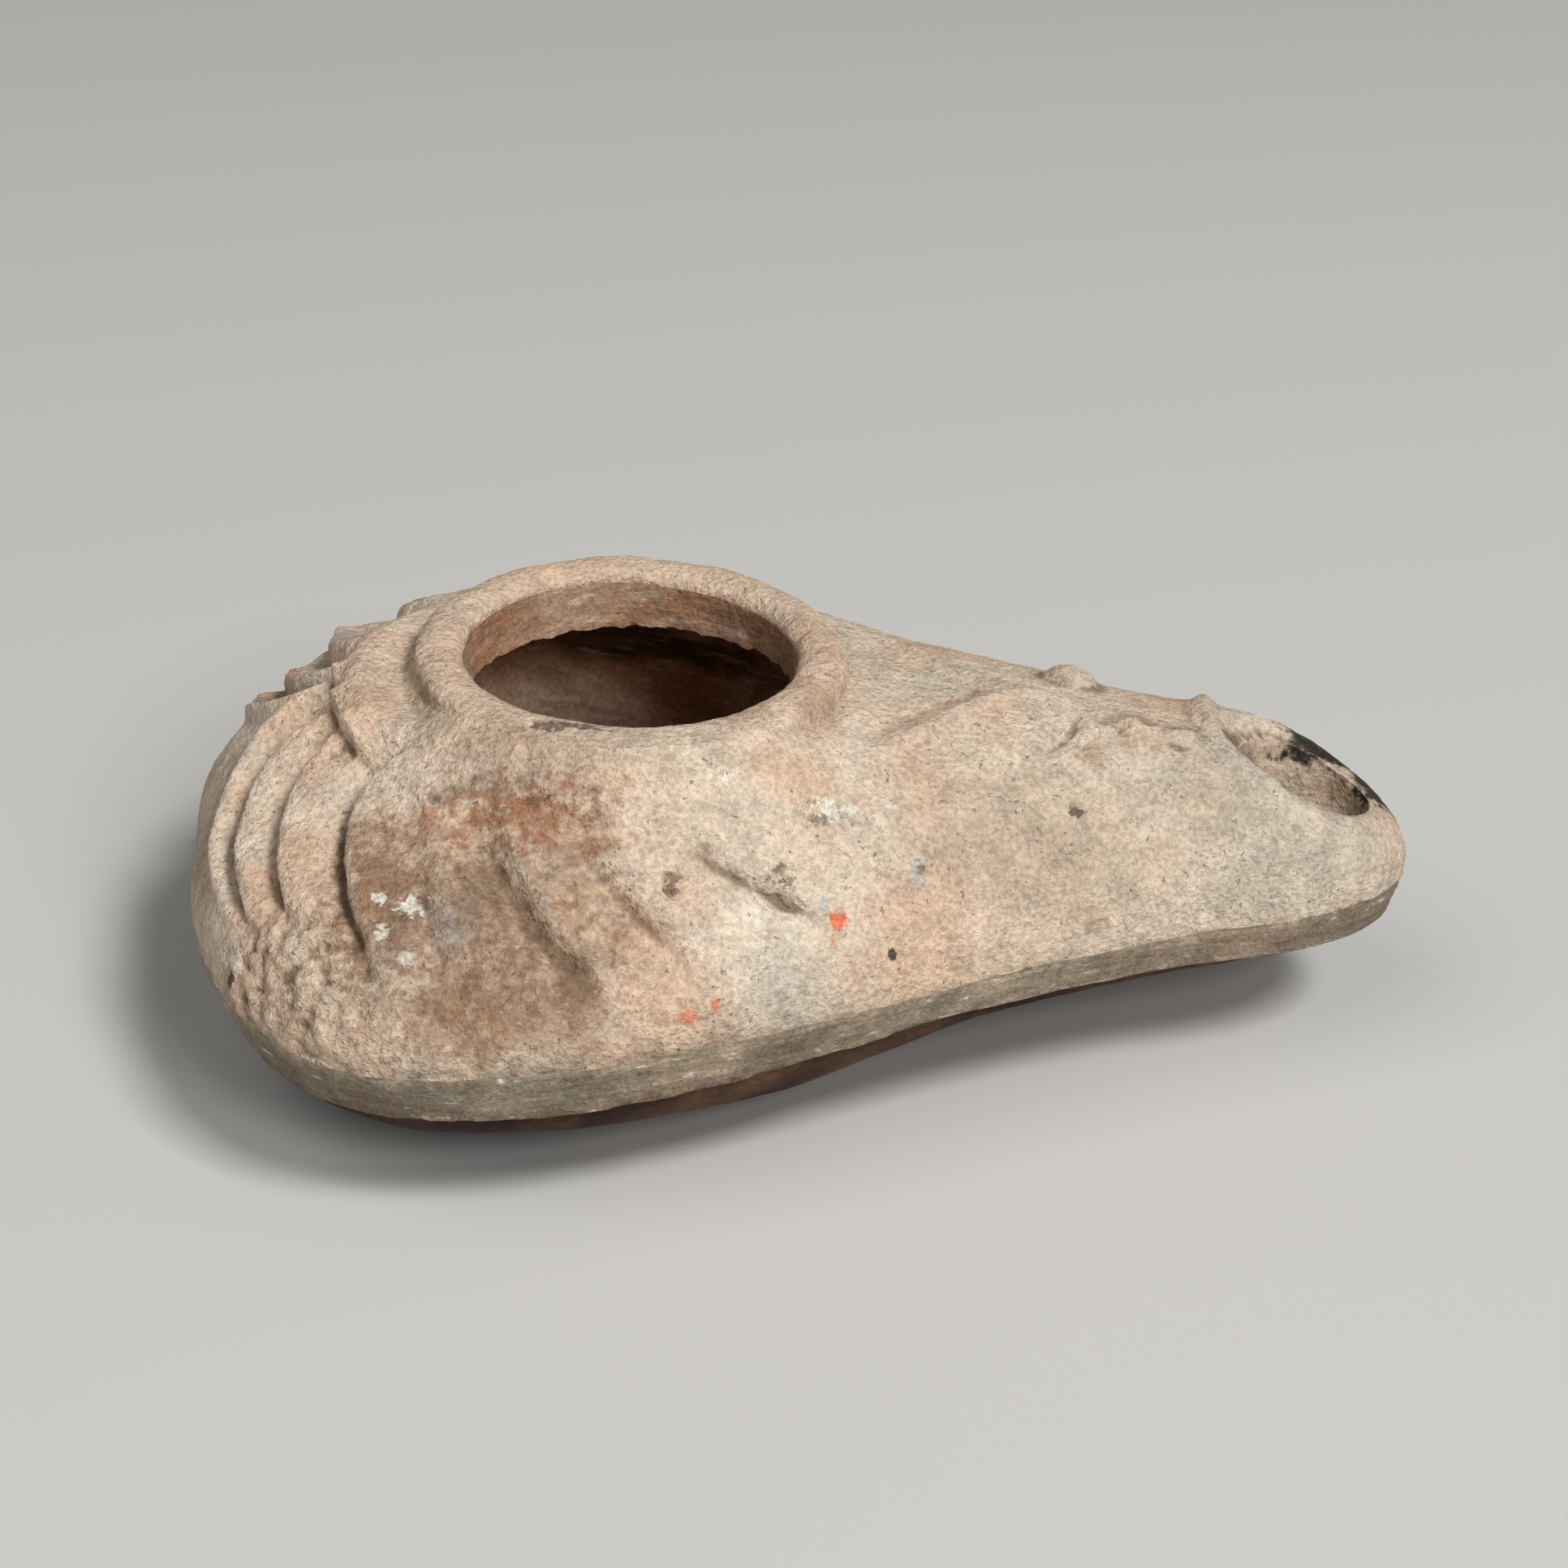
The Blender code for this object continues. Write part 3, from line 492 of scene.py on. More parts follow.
class Skin:
    """One face of the clay wall: the outside, or the inside set in from it."""

    def __init__(self, form, inset=0.0, nozzle_inset=0.0, tip_inset=0.0):
        self.form = form
        self.inset = inset
        self.nozzle_inset = nozzle_inset
        self.back = form.back_reach - inset
        self.tip = form.tip_reach - tip_inset
        self.width = form.half_width - inset
        self.nozzle = form.nozzle_half_width - nozzle_inset
        self.side_x, self.side_y = self.half_outline()
        steps = np.hypot(np.diff(self.side_x), np.diff(self.side_y))
        run = np.concatenate([[0.0], np.cumsum(steps)])
        self.share = run / run[-1]

    def half_outline(self):
        """The +Y half of the plan, from the tip round to the back."""
        share = np.linspace(0.0, 1.0, OUTLINE_STEPS)
        tip_run = self.tip - NOZZLE_STATION
        corner = (NOZZLE_STATION + TIP_FULLNESS * tip_run,
                  self.nozzle - TIP_FULLNESS * tip_run * NOZZLE_TAPER)
        points = ((self.tip, 0.0), (self.tip, self.nozzle / 2.0), corner,
                  (NOZZLE_STATION, self.nozzle))
        weights = ((1.0 - share) ** 3, 3.0 * (1.0 - share) ** 2 * share,
                   3.0 * (1.0 - share) * share ** 2, share ** 3)
        tip_x = sum(weight * point[0] for weight, point in zip(weights, points))
        tip_y = sum(weight * point[1] for weight, point in zip(weights, points))

        span = NOZZLE_STATION + WIDEST_BEHIND_HOLE
        back_share = 1.0 - share
        ease = back_share ** 2 * (3.0 - 2.0 * back_share)
        tangent = back_share ** 2 * (1.0 - back_share)
        flank_x = back_share * span - WIDEST_BEHIND_HOLE
        flank_y = self.width + (self.nozzle - self.width) * ease + tangent * span * NOZZLE_TAPER

        turn = share * math.pi / 2.0
        power = 2.0 / BACK_SQUARENESS
        back_x = -WIDEST_BEHIND_HOLE - (self.back - WIDEST_BEHIND_HOLE) * np.sin(turn) ** power
        back_y = self.width * np.maximum(np.cos(turn), 0.0) ** power
        x = np.concatenate([tip_x, flank_x[1:], back_x[1:]])
        y = np.concatenate([tip_y, flank_y[1:], back_y[1:]])
        return x, y

    def outline(self, turn):
        """Plan points at these shares of the way round, 0 at the tip and 0.5 at the back."""
        half = 2.0 * np.where(turn <= 0.5, turn, 1.0 - turn)
        side = np.where(turn <= 0.5, 1.0, -1.0)
        return np.interp(half, self.share, self.side_x), side * np.interp(half, self.share, self.side_y)

    def tucked(self, turn, ledge=0.0):
        """Plan points below the band, drawn in by its undercut and a ledge."""
        x, y = self.outline(turn)
        back = 1.0 - ramp(-BAND_UNDERCUT_FADE, 0.0, x)
        tuck = BAND_UNDERCUT + (BAND_UNDERCUT_BACK - BAND_UNDERCUT) * back + ledge
        keep = 1.0 - tuck / np.hypot(x, y)
        return x * keep, y * keep

    def half_width(self, x):
        """Half the width of the plan at x."""
        return np.maximum(np.interp(x, self.side_x[::-1], self.side_y[::-1]), LEAST_HALF_WIDTH)

    def crest(self, x):
        """Height of the line along the top of the nozzle."""
        seam = self.form.seam_height
        foot = self.form.hole_radius + self.form.collar_width
        run = np.maximum(x - foot, 0.0) / (CREST_END - foot)
        roof = self.inset + (self.nozzle_inset - self.inset) * np.minimum(run, 1.0)
        height = COLLAR_HEIGHT - CREST_BELOW_COLLAR - roof - CREST_DROP * run ** CREST_CURVE
        end = np.clip((x - self.tip + TIP_ROUNDING) / TIP_ROUNDING, 0.0, 1.0)
        return seam + (height - seam) * np.sqrt(1.0 - end * end)

    def band_foot(self, x):
        """Height of the lower edge of the pared band."""
        narrow = ramp(0.0, BAND_NARROWING, x)
        return self.form.seam_height - BAND_HEIGHT + (BAND_HEIGHT - BAND_HEIGHT_NOZZLE) * narrow

    def keel(self, x):
        """Height of the line along the underside of the nozzle."""
        front = BASE_CENTRE + BASE_HALF_LENGTH
        run = np.clip((x - front) / (self.tip - front), 0.0, 1.0)
        floor = FLOOR_THICKNESS if self.inset else BASE_STEP
        top = self.form.seam_height if self.inset else self.band_foot(self.tip)
        return floor + (top - floor) * run ** KEEL_CURVE

    def upper(self, turn, share):
        """Points of the top, share 0 at the collar and 1 at the seam."""
        form = self.form
        seam = form.seam_height
        out_x, out_y = self.outline(turn)
        inner = form.hole_radius if self.inset else form.hole_radius + form.collar_width
        start = COLLAR_HEIGHT - HOLE_WALL if self.inset else COLLAR_HEIGHT - COLLAR_STAND
        rise = CAVITY_RISE if self.inset else SHOULDER_RISE
        angle = collar_angle(turn)
        x = inner * np.cos(angle) * (1.0 - share) + out_x * share
        y = inner * np.sin(angle) * (1.0 - share) + out_y * share
        dome = seam + (start - seam) * arch(share, rise, SHOULDER_FULLNESS)
        square = SECTION_SQUARENESS + (SECTION_SQUARENESS_AT_WICK - SECTION_SQUARENESS) * ramp(
            WICK_HOLE_CENTRE - SQUARING_REACH, WICK_HOLE_CENTRE, x)
        across = np.clip(np.abs(y) / self.half_width(x), 0.0, 1.0)
        section = seam + (self.crest(x) - seam) * arch(across, square, 2.0)
        blend = ramp(CREST_BLEND_START * form.hole_radius, RIDGE_MEET, x)
        z = dome + (section - dome) * blend
        if not self.inset:
            away = (np.hypot(x, y) - inner) / FOOT_FILLET_REACH
            z = z + FOOT_FILLET * near_side(np.degrees(np.arctan2(y, x))) * np.exp(-away ** 2)
        return np.stack([x, y, np.where(share >= 1.0, seam, z)], axis=-1)

    def lower(self, turn, share):
        """Points of the underside, share 0 at the flat base and 1 below the band."""
        out_x, out_y = self.outline(turn) if self.inset else self.tucked(turn, BAND_LEDGE)
        angle = 2.0 * math.pi * turn
        x = (BASE_CENTRE + BASE_HALF_LENGTH * np.cos(angle)) * (1.0 - share) + out_x * share
        y = BASE_HALF_WIDTH * np.sin(angle) * (1.0 - share) + out_y * share
        top = self.form.seam_height if self.inset else self.band_foot(x)
        floor = FLOOR_THICKNESS if self.inset else BASE_STEP
        bowl = top - (top - floor) * arch(share, UNDERSIDE_RISE, UNDERSIDE_FULLNESS)
        across = np.clip(np.abs(y) / self.half_width(x), 0.0, 1.0)
        section = top - (top - self.keel(x)) * np.maximum(1.0 - across ** KEEL_FULLNESS, 0.0)
        front = BASE_CENTRE + BASE_HALF_LENGTH
        blend = ramp(front - KEEL_BLEND, front + KEEL_BLEND, x) * ramp(0.0, KEEL_FADE, share)
        z = bowl + (section - bowl) * blend
        return np.stack([x, y, np.where(share >= 1.0, top, z)], axis=-1)


def even_shares(profile, rows):
    """Shares from 0 to 1 that put rows of a profile at equal steps along the surface at its side."""
    shares = np.linspace(0.0, 1.0, OUTLINE_STEPS)
    points = np.array([profile(np.array([SIDE_TURN]), np.array([share]))[0] for share in shares])
    run = np.concatenate([[0.0], np.cumsum(np.linalg.norm(np.diff(points, axis=0), axis=1))])
    return np.interp(np.linspace(0.0, run[-1], rows + 1), run, shares)


def rows_between(profile, turns, shares):
    """Rings of a profile at these shares."""
    return [profile(turns, np.full(len(turns), share)) for share in shares]


def base_rows(outside, turns):
    """Rings of the flat base, from its middle out, and its low upright step."""
    edge = outside.lower(turns, np.zeros(len(turns)))
    middle = np.array([BASE_CENTRE, 0.0, 0.0])
    out = edge * np.array([1.0, 1.0, 0.0]) - middle
    shares = np.linspace(POLE_SHARE, 1.0, BASE_ROWS)
    return [middle + out * share for share in shares] + [edge]


def band_rows(outside, turns):
    """Rings of the pared band, from its lower ledge up to the seam."""
    edge_x, edge_y = outside.tucked(turns)
    foot = np.stack([edge_x, edge_y, outside.band_foot(edge_x)], axis=-1)
    seam = outside.upper(turns, np.ones(len(turns)))
    return [foot + (seam - foot) * step / BAND_ROWS for step in range(BAND_ROWS + 1)]


def collar_rows(form, outside, turns):
    """Rings of the rounded collar, from its foot over to the filling hole."""
    foot = outside.upper(turns, np.zeros(len(turns)))
    angle = collar_angle(turns)
    bearing = np.degrees(angle)
    dented = ramp(0.0, COLLAR_DENT_STEP, COLLAR_DENT_ANGLE - bearing) * ramp(*COLLAR_DENT_FADE, bearing)
    top = collar_top(angle) - COLLAR_DENT * dented
    rings = []
    for step in range(1, COLLAR_ROWS + 1):
        share = step / COLLAR_ROWS
        swing = math.pi * share
        radius = form.hole_radius + form.collar_width / 2.0 * (1.0 + math.cos(swing))
        side = foot[:, 2] * (1.0 - share) + (top - COLLAR_INNER_EDGE) * share
        height = side + (top - side) * math.sin(swing) ** COLLAR_ROUNDNESS
        rings.append(np.stack([radius * np.cos(angle), radius * np.sin(angle), height], axis=-1))
    return rings


def hole_rows(form, turns):
    """Rings of the filling hole's wall, whose lower edge is torn."""
    angle = collar_angle(turns)
    top = collar_top(angle) - COLLAR_INNER_EDGE
    bottom = COLLAR_HEIGHT - HOLE_WALL
    circle = np.stack([np.cos(angle), np.sin(angle), np.zeros(len(angle))], axis=-1) * form.hole_radius
    torn = TORN_EDGE * field(circle, *HOLE_EDGE_TEARS)
    rings = []
    for step in range(1, HOLE_WALL_ROWS + 1):
        share = step / HOLE_WALL_ROWS
        ring = circle.copy()
        ring[:, 2] = top + (bottom - top) * share + torn * share ** 3
        rings.append(ring)
    return rings


def shell_sections(form):
    """The shell's rings in order, from the base's middle out, over and round to the chamber's floor."""
    outside = Skin(form)
    inside = Skin(form, form.wall, NOZZLE_WALL, TIP_WALL)
    shoulder_shares = even_shares(outside.upper, SHOULDER_ROWS)[::-1][1:]
    even = np.arange(form.columns) / form.columns
    turns = even + COLUMN_CROWDING * np.sin(2.0 * math.pi * even) / (2.0 * math.pi)
    floor = rows_between(inside.lower, turns, even_shares(inside.lower, FLOOR_ROWS)[::-1][1:])
    middle = np.array([BASE_CENTRE, 0.0, FLOOR_THICKNESS])
    pole = middle + (floor[-1] - middle) * POLE_SHARE
    return (
        ("base", base_rows(outside, turns)),
        ("underside", rows_between(outside.lower, turns, even_shares(outside.lower, UNDERSIDE_ROWS)[1:])),
        ("band", band_rows(outside, turns)),
        ("shoulder", rows_between(outside.upper, turns, shoulder_shares)),
        ("collar", collar_rows(form, outside, turns)),
        ("hole_wall", hole_rows(form, turns)),
        ("chamber", rows_between(inside.upper, turns, even_shares(inside.upper, CEILING_ROWS)[1:])),
        ("chamber", floor + [pole]),
    )


def field(points, size, octaves, seed):
    """Fractal noise about 0 at these points, with lumps of this size, or of one size for each axis."""
    scaled = (points / size).reshape(-1, 3) + seed
    values = [noise.fractal(Vector(place), 1.0, 2.0, octaves) for place in scaled]
    return np.array(values).reshape(points.shape[:-1])


def scattered_pits(points, spacing, radius, amount, seed):
    """Depth from 0 to 1 of round pits, in this share of the cells of a scatter."""
    scaled = (points / spacing).reshape(-1, 3) + seed
    depths = []
    for place in scaled:
        distances, centres = noise.voronoi(Vector(place))
        chosen = noise.cell(centres[0] * PIT_CHOICE_SCALE) * 0.5 + 0.5 < amount
        depths.append(max(1.0 - (distances[0] * spacing / radius) ** 2, 0.0) if chosen else 0.0)
    return np.array(depths).reshape(points.shape[:-1])


def groove_distance(radius, angle, start, sweep, curl):
    """Distance from a rib groove, positive on its nozzle side."""
    run = np.maximum(radius - RIB_ROOT_RADIUS, 0.0) / SWEEP_REACH
    centre = start - sweep * run ** curl
    return radius * np.radians(centre - angle)


def rib_angle(angle):
    """Angle that places the ribs: those of the far side sit a little nearer the back."""
    shift = FAR_RIB_SHIFT * ramp(*FAR_RIB_FADE, 180.0 - angle)
    return np.abs(angle) - np.where(angle > 0.0, shift, 0.0)


def groove_ends(radius, inner, outer):
    """Share of a rib groove that is left towards its inner and outer end."""
    start = ramp(inner - GROOVE_RUN_OUT, inner + GROOVE_RUN_OUT / 2.0, radius)
    return start * (1.0 - ramp(outer - GROOVE_RUN_OUT, outer + GROOVE_RUN_OUT / 2.0, radius))


def rear_rib(radius, angle):
    """Raised rims of the rib in the middle of the back, beside its two grooves."""
    start, sweep, curl, inner, outer = RIB_GROOVES[0][:5]
    aside = groove_distance(radius, rib_angle(angle), start, sweep, curl) + REAR_RIB_ASIDE
    return REAR_RIB_RISE * groove_ends(radius, inner, outer) * np.exp(-(aside / REAR_RIB_HALF_WIDTH) ** 2)


def rib_relief(radius, angle, waver):
    """Swept grooves that part the ribs, steep towards the nozzle."""
    relief = rear_rib(radius, angle)
    far = np.where(angle > 0.0, ramp(*FAR_RIB_FADE, 180.0 - angle), 0.0)
    for start, sweep, curl, inner, outer, depth, narrow, crest in RIB_GROOVES:
        steep = narrow * (1.0 + FAR_RIB_SOFTNESS * far)
        away = groove_distance(radius, rib_angle(angle), start, sweep, curl) + waver
        gentle = -depth * np.exp(-(np.maximum(-away, 0.0) / GROOVE_GENTLE_SIDE) ** GROOVE_FULLNESS)
        rib = crest * np.exp(-(np.maximum(away - steep, 0.0) / RIB_FALL) ** 2)
        profile = gentle + (rib - gentle) * ramp(0.0, 1.0, away / steep)
        relief = relief + groove_ends(radius, inner, outer) * profile
    return relief


def swell_relief(points):
    """Broad swells and sinks that make the ribs of the far side uneven."""
    height = np.zeros(points.shape[:-1])
    for centre, reach, rise in SWELLS:
        away = np.linalg.norm(points / MM - centre, axis=-1) / reach
        height = height + rise * MM * np.exp(-away ** 2)
    return height


def collar_relief(form, radius, angle):
    """Terrace behind the collar, and the groove at its foot."""
    foot = form.hole_radius + form.collar_width
    start = foot + TERRACE_START
    edge = start + TERRACE_WIDTH - TERRACE_EDGE
    back = np.where(angle > 0.0, ramp(*TERRACE_FADE_FAR, angle), ramp(*TERRACE_FADE_NEAR, -angle))
    terrace = TERRACE_HEIGHT * back * (
        ramp(start, start + TERRACE_WIDTH / 2.0, radius) - ramp(edge, edge + TERRACE_EDGE, radius))
    away = (radius - foot - FOOT_GROOVE_WIDTH) / FOOT_GROOVE_WIDTH
    depth = FOOT_GROOVE_DEPTH * ramp(*GROOVE_FADE, np.abs(angle)) * (1.0 - near_side(angle))
    return terrace - depth * np.exp(-away ** 2)


def line_distance(x, y, chain):
    """Distance in plan from a chain of points, and the share of the chain at the nearest place."""
    nearest = np.full(x.shape, np.inf)
    share = np.zeros(x.shape)
    count = len(chain) - 1
    for index, (start, end) in enumerate(zip(chain[:-1], chain[1:])):
        run_x = end[0] - start[0]
        run_y = end[1] - start[1]
        along = ((x - start[0]) * run_x + (y - start[1]) * run_y) / (run_x ** 2 + run_y ** 2)
        along = np.clip(along, 0.0, 1.0)
        away = np.hypot(x - start[0] - along * run_x, y - start[1] - along * run_y)
        closer = away < nearest
        nearest = np.where(closer, away, nearest)
        share = np.where(closer, (index + along) / count, share)
    return nearest, share


def ridge_relief(relief, x, y):
    """The two raised lines that meet along the nozzle, and the sunken panel between them."""
    places = np.linspace(RIDGE_START, RIDGE_END, RIDGE_POINTS)
    apart = np.maximum(RIDGE_MEET - places, 0.0) / (RIDGE_MEET - RIDGE_START)
    spread = RIDGE_SPREAD * apart ** RIDGE_BEND
    height = np.zeros_like(x)
    for side, left in ((-1.0, RIDGE_NEAR_SHARE), (1.0, RIDGE_FAR_SHARE)):
        away, share = line_distance(x, y, list(zip(places, side * spread)))
        taper = ramp(0.0, RIDGE_RISE_BY, share) * (1.0 - RIDGE_FALL * ramp(RIDGE_FALL_FROM, 1.0, share))
        line = relief.line_height * left * taper * np.exp(-(away / RIDGE_HALF_WIDTH) ** 2)
        height = np.maximum(height, line)
    reach = np.interp(x, places, spread)
    inside = 1.0 - ramp(reach - PANEL_SLOPE, reach, np.abs(y))
    begun = ramp(RIDGE_START - PANEL_LEAD, RIDGE_START + PANEL_FADE, x)
    left = 1.0 - ramp(RIDGE_MEET - PANEL_FADE, RIDGE_MEET, x)
    return height - PANEL_DEPTH * inside * begun * left


def wick_oval(form, x, y):
    """Distance in plan outside the wick hole's edge, negative inside it."""
    share = np.hypot((x - WICK_HOLE_CENTRE) * 2.0 / form.wick_hole_length, y * 2.0 / form.wick_hole_width)
    return (share - 1.0) * form.wick_hole_width / 2.0


def wick_relief(form, x, y):
    """The raised arc behind the wick hole, the hollow round the hole, and its thin near lip."""
    centre_x, centre_y = WICK_RIM_CENTRE
    first, last = WICK_RIM_TURN
    turn = np.degrees(np.arctan2(centre_y - y, centre_x - x))
    away = np.hypot(x - centre_x, y - centre_y) - WICK_RIM_RADIUS
    fade = ramp(first - WICK_RIM_FADE, first, turn) * (1.0 - ramp(last, last + WICK_RIM_FADE, turn))
    arc = WICK_RIM_HEIGHT * fade * np.exp(-(away / WICK_RIM_HALF_WIDTH) ** 2)
    outside = wick_oval(form, x, y)
    tip = ramp(form.wick_hole_length / 4.0, form.wick_hole_length / 2.0, x - WICK_HOLE_CENTRE)
    dip = -WICK_DIP * (1.0 - ramp(0.0, WICK_DIP_REACH, outside)) * (1.0 - WICK_DIP_LOSS_AT_TIP * tip)
    edge = -WICK_EDGE_DEPTH * np.exp(-(np.maximum(outside, 0.0) / WICK_EDGE_WIDTH) ** 2)
    near = 1.0 - ramp(-WICK_LIP_FADE, WICK_LIP_FADE, y)
    lip = WICK_LIP_HEIGHT * np.exp(-((outside - WICK_LIP_ASIDE) / WICK_LIP_HALF_WIDTH) ** 2) * near
    return arc + dip + edge + lip


def knob_relief(x, y):
    """The round pellet on the far side of the nozzle's root."""
    away = np.hypot(x - KNOB_PLACE[0], y - KNOB_PLACE[1]) / KNOB_RADIUS
    return KNOB_PROUD * np.maximum(1.0 - away ** 2, 0.0) ** KNOB_FULLNESS


def stroke_relief(x, y):
    """Fine strokes pressed into the top or standing up from it."""
    height = np.zeros_like(x)
    for chain, rise, half_width in STROKES:
        away, share = line_distance(x / MM, y / MM, chain)
        taper = ramp(0.0, STROKE_RISE_BY, share) * (1.0 - ramp(STROKE_FALL_FROM, 1.0, share))
        height = height + rise * MM * taper * np.exp(-(away / half_width) ** 2)
    return height


def spot_relief(x, y, uneven):
    """Crusted lumps and broken spots."""
    height = np.zeros_like(x)
    for place_x, place_y, reach, rise, roughness in SPOTS:
        away = np.hypot(x / MM - place_x, y / MM - place_y) / reach
        height = height + np.exp(-away ** 4) * (rise + roughness * uneven) * MM
    return height


def crust_relief(relief, x, y, uneven):
    """The crust that ends in a broken edge beside the smoother, flaked patch."""
    edge_x, edge_y = zip(*FLAKE_EDGE)
    shift = np.interp(-y / MM, -np.array(edge_y), np.array(edge_x)) + FLAKE_WANDER * uneven - x / MM
    crust = ramp(-FLAKE_STEP_WIDTH, FLAKE_STEP_WIDTH, shift) * (1.0 - ramp(0.0, FLAKE_CRUST_REACH, shift))
    span = ramp(-edge_y[0] - FLAKE_FADE, -edge_y[0], -y / MM)
    return relief.crust_height * crust * span


def worn_share(points):
    """How worn the clay is, 1 in the middle of the worn patch and 0 outside it."""
    away = np.linalg.norm((points / MM - WORN_PLACE) / WORN_REACH, axis=-1)
    return 1.0 - ramp(*WORN_EDGE, away)


def shoulder_relief(form, relief, points):
    """All that stands off the plain shoulder and collar."""
    x, y, z = points[..., 0], points[..., 1], points[..., 2]
    radius = np.hypot(x, y)
    angle = np.degrees(np.arctan2(y, x))
    broad = field(points, *BROAD_LUMPS)
    middle = field(points, *MIDDLE_LUMPS)
    fine = field(points, *FINE_LUMPS)
    over_seam = z - form.seam_height
    above = ramp(*RELIEF_FADE, over_seam)
    worn = worn_share(points)
    foot = form.hole_radius + form.collar_width
    off_collar = ramp(foot - COLLAR_BLEND, foot, radius)
    ribs = rib_relief(radius, angle, RIB_WAVER * middle) * relief.rib_depth * (1.0 - WORN_RIB_LOSS * worn)
    moulded = (ribs + swell_relief(points) + collar_relief(form, radius, angle)) * above * off_collar
    lines = ridge_relief(relief, x, y) + wick_relief(form, x, y)
    nozzle = lines + knob_relief(x, y) + stroke_relief(x, y)
    loose = spot_relief(x, y, middle + SPOT_FINE_SHARE * fine) + crust_relief(relief, x, y, middle)
    rough = WORN_LUMP_SHARE * field(points, *WORN_LUMPS) + WORN_MIDDLE_SHARE * middle - WORN_SINK
    lumps = relief.wear_depth * worn * (rough - WORN_PIT_SHARE * scattered_pits(points, *WORN_PITS))
    pits = relief.pit_depth * scattered_pits(points, *SHOULDER_PITS)
    rounding = SEAM_ROUNDING * np.exp(-over_seam / SEAM_ROUNDING_REACH) * (1.0 - ramp(*SEAM_ROUNDING_FADE, x))
    chips = SEAM_CHIPS * (1.0 + middle) * np.exp(-over_seam / SEAM_CHIPS_REACH) + rounding
    ground = relief.lump_height * (broad + MIDDLE_SHARE * middle) + relief.grit_height * fine
    return moulded + nozzle * off_collar + loose + lumps - pits - chips + ground


def band_relief(form, relief, points):
    """Long, shallow knife marks of the pared band, with a chipped upper and lower edge."""
    below = form.seam_height - points[..., 2]
    strokes = field(points, *KNIFE_STROKES)
    flakes = field(points, *BAND_FLAKES)
    middle = field(points, *MIDDLE_LUMPS)
    top = BAND_TOP_CHIPS * (1.0 + middle) * np.exp(-below / BAND_TOP_CHIPS_REACH)
    low = BAND_FOOT_CHIPS * ramp(*BAND_FOOT_CHIPS_WHERE, flakes) * ramp(*BAND_FOOT_CHIPS_FROM, below)
    return KNIFE_DEPTH * strokes + FLAKE_HEIGHT * (flakes - 1.0) - top - low


def underside_relief(form, relief, points):
    """Hand-smoothed clay, fading out towards the flat base."""
    fade = ramp(0.0, BASE_FADE, points[..., 2])
    broad = field(points, *BROAD_LUMPS)
    strokes = field(points, *HAND_STROKES)
    return (relief.lump_height * broad + HAND_STROKE_DEPTH * strokes - HAND_STROKE_SINK) * fade


def hole_wall_relief(form, relief, points):
    """Turning marks round the filling hole's wall."""
    return TURNING_DEPTH * (field(points, *TURNING_MARKS) + field(points, *HOLE_WALL_LUMPS))


def chamber_relief(form, relief, points):
    """Finger marks that run round the inside of the chamber."""
    return FINGER_DEPTH * field(points, *FINGER_MARKS)


def base_relief(form, relief, points):
    """The flat base stays flat, so that the lamp stands on it."""
    return np.zeros(points.shape[:-1])


RELIEFS = {
    "base": base_relief,
    "underside": underside_relief,
    "band": band_relief,
    "shoulder": shoulder_relief,
    "collar": shoulder_relief,
    "hole_wall": hole_wall_relief,
    "chamber": chamber_relief,
}


def surface_normals(points):
    """Outward normals of a closed run of rings."""
    round_step = np.roll(points, -1, axis=1) - np.roll(points, 1, axis=1)
    row_step = np.gradient(points, axis=0)
    normals = np.cross(round_step, row_step)
    return normals / np.maximum(np.linalg.norm(normals, axis=-1, keepdims=True), 1e-12)


def local_mean(values, reach):
    """Mean of the values over a square of rows and columns on each side."""
    padded = np.pad(values, ((reach, reach), (0, 0)), mode="edge")
    rows = len(values)
    span = 2 * reach + 1
    down = sum(padded[step:step + rows] for step in range(span)) / span
    return sum(np.roll(down, step - reach, axis=1) for step in range(span)) / span


def extrude_ring(bm, ring, points):
    """Extrude a ring of vertices into a new ring at these points, and return it with its new faces."""
    edges = [bm.edges.get((a, b)) for a, b in zip(ring, ring[1:] + ring[:1])]
    made = bmesh.ops.extrude_edge_only(bm, edges=edges)["geom"]
    fresh = {item for item in made if isinstance(item, bmesh.types.BMVert)}
    faces = [item for item in made if isinstance(item, bmesh.types.BMFace)]
    new_ring = []
    for vert, point in zip(ring, points):
        twin = next(edge.other_vert(vert) for edge in vert.link_edges if edge.other_vert(vert) in fresh)
        twin.co = Vector(point)
        new_ring.append(twin)
    return new_ring, faces


def loft(rings, slots, shades):
    """A closed skin through rings of points, with a material slot and a row of shades for each ring."""
    bm = bmesh.new()
    shade = bm.verts.layers.float.new("relief")
    start = bmesh.ops.create_circle(bm, cap_ends=True, segments=len(rings[0]), radius=1.0)
    ring = start["verts"]
    for vert, point in zip(ring, rings[0]):
        vert.co = Vector(point)
    for face in bm.faces:
        face.material_index = slots[0]
    for points, slot, row in zip(rings[1:], slots[1:], shades[1:]):
        ring, faces = extrude_ring(bm, ring, points)
        for face in faces:
            face.material_index = slot
        for vert, value in zip(ring, row):
            vert[shade] = value
    cap = bmesh.ops.contextual_create(bm, geom=ring)["faces"]
    for face in cap:
        face.material_index = slots[-1]
    bmesh.ops.recalc_face_normals(bm, faces=bm.faces)
    return bm


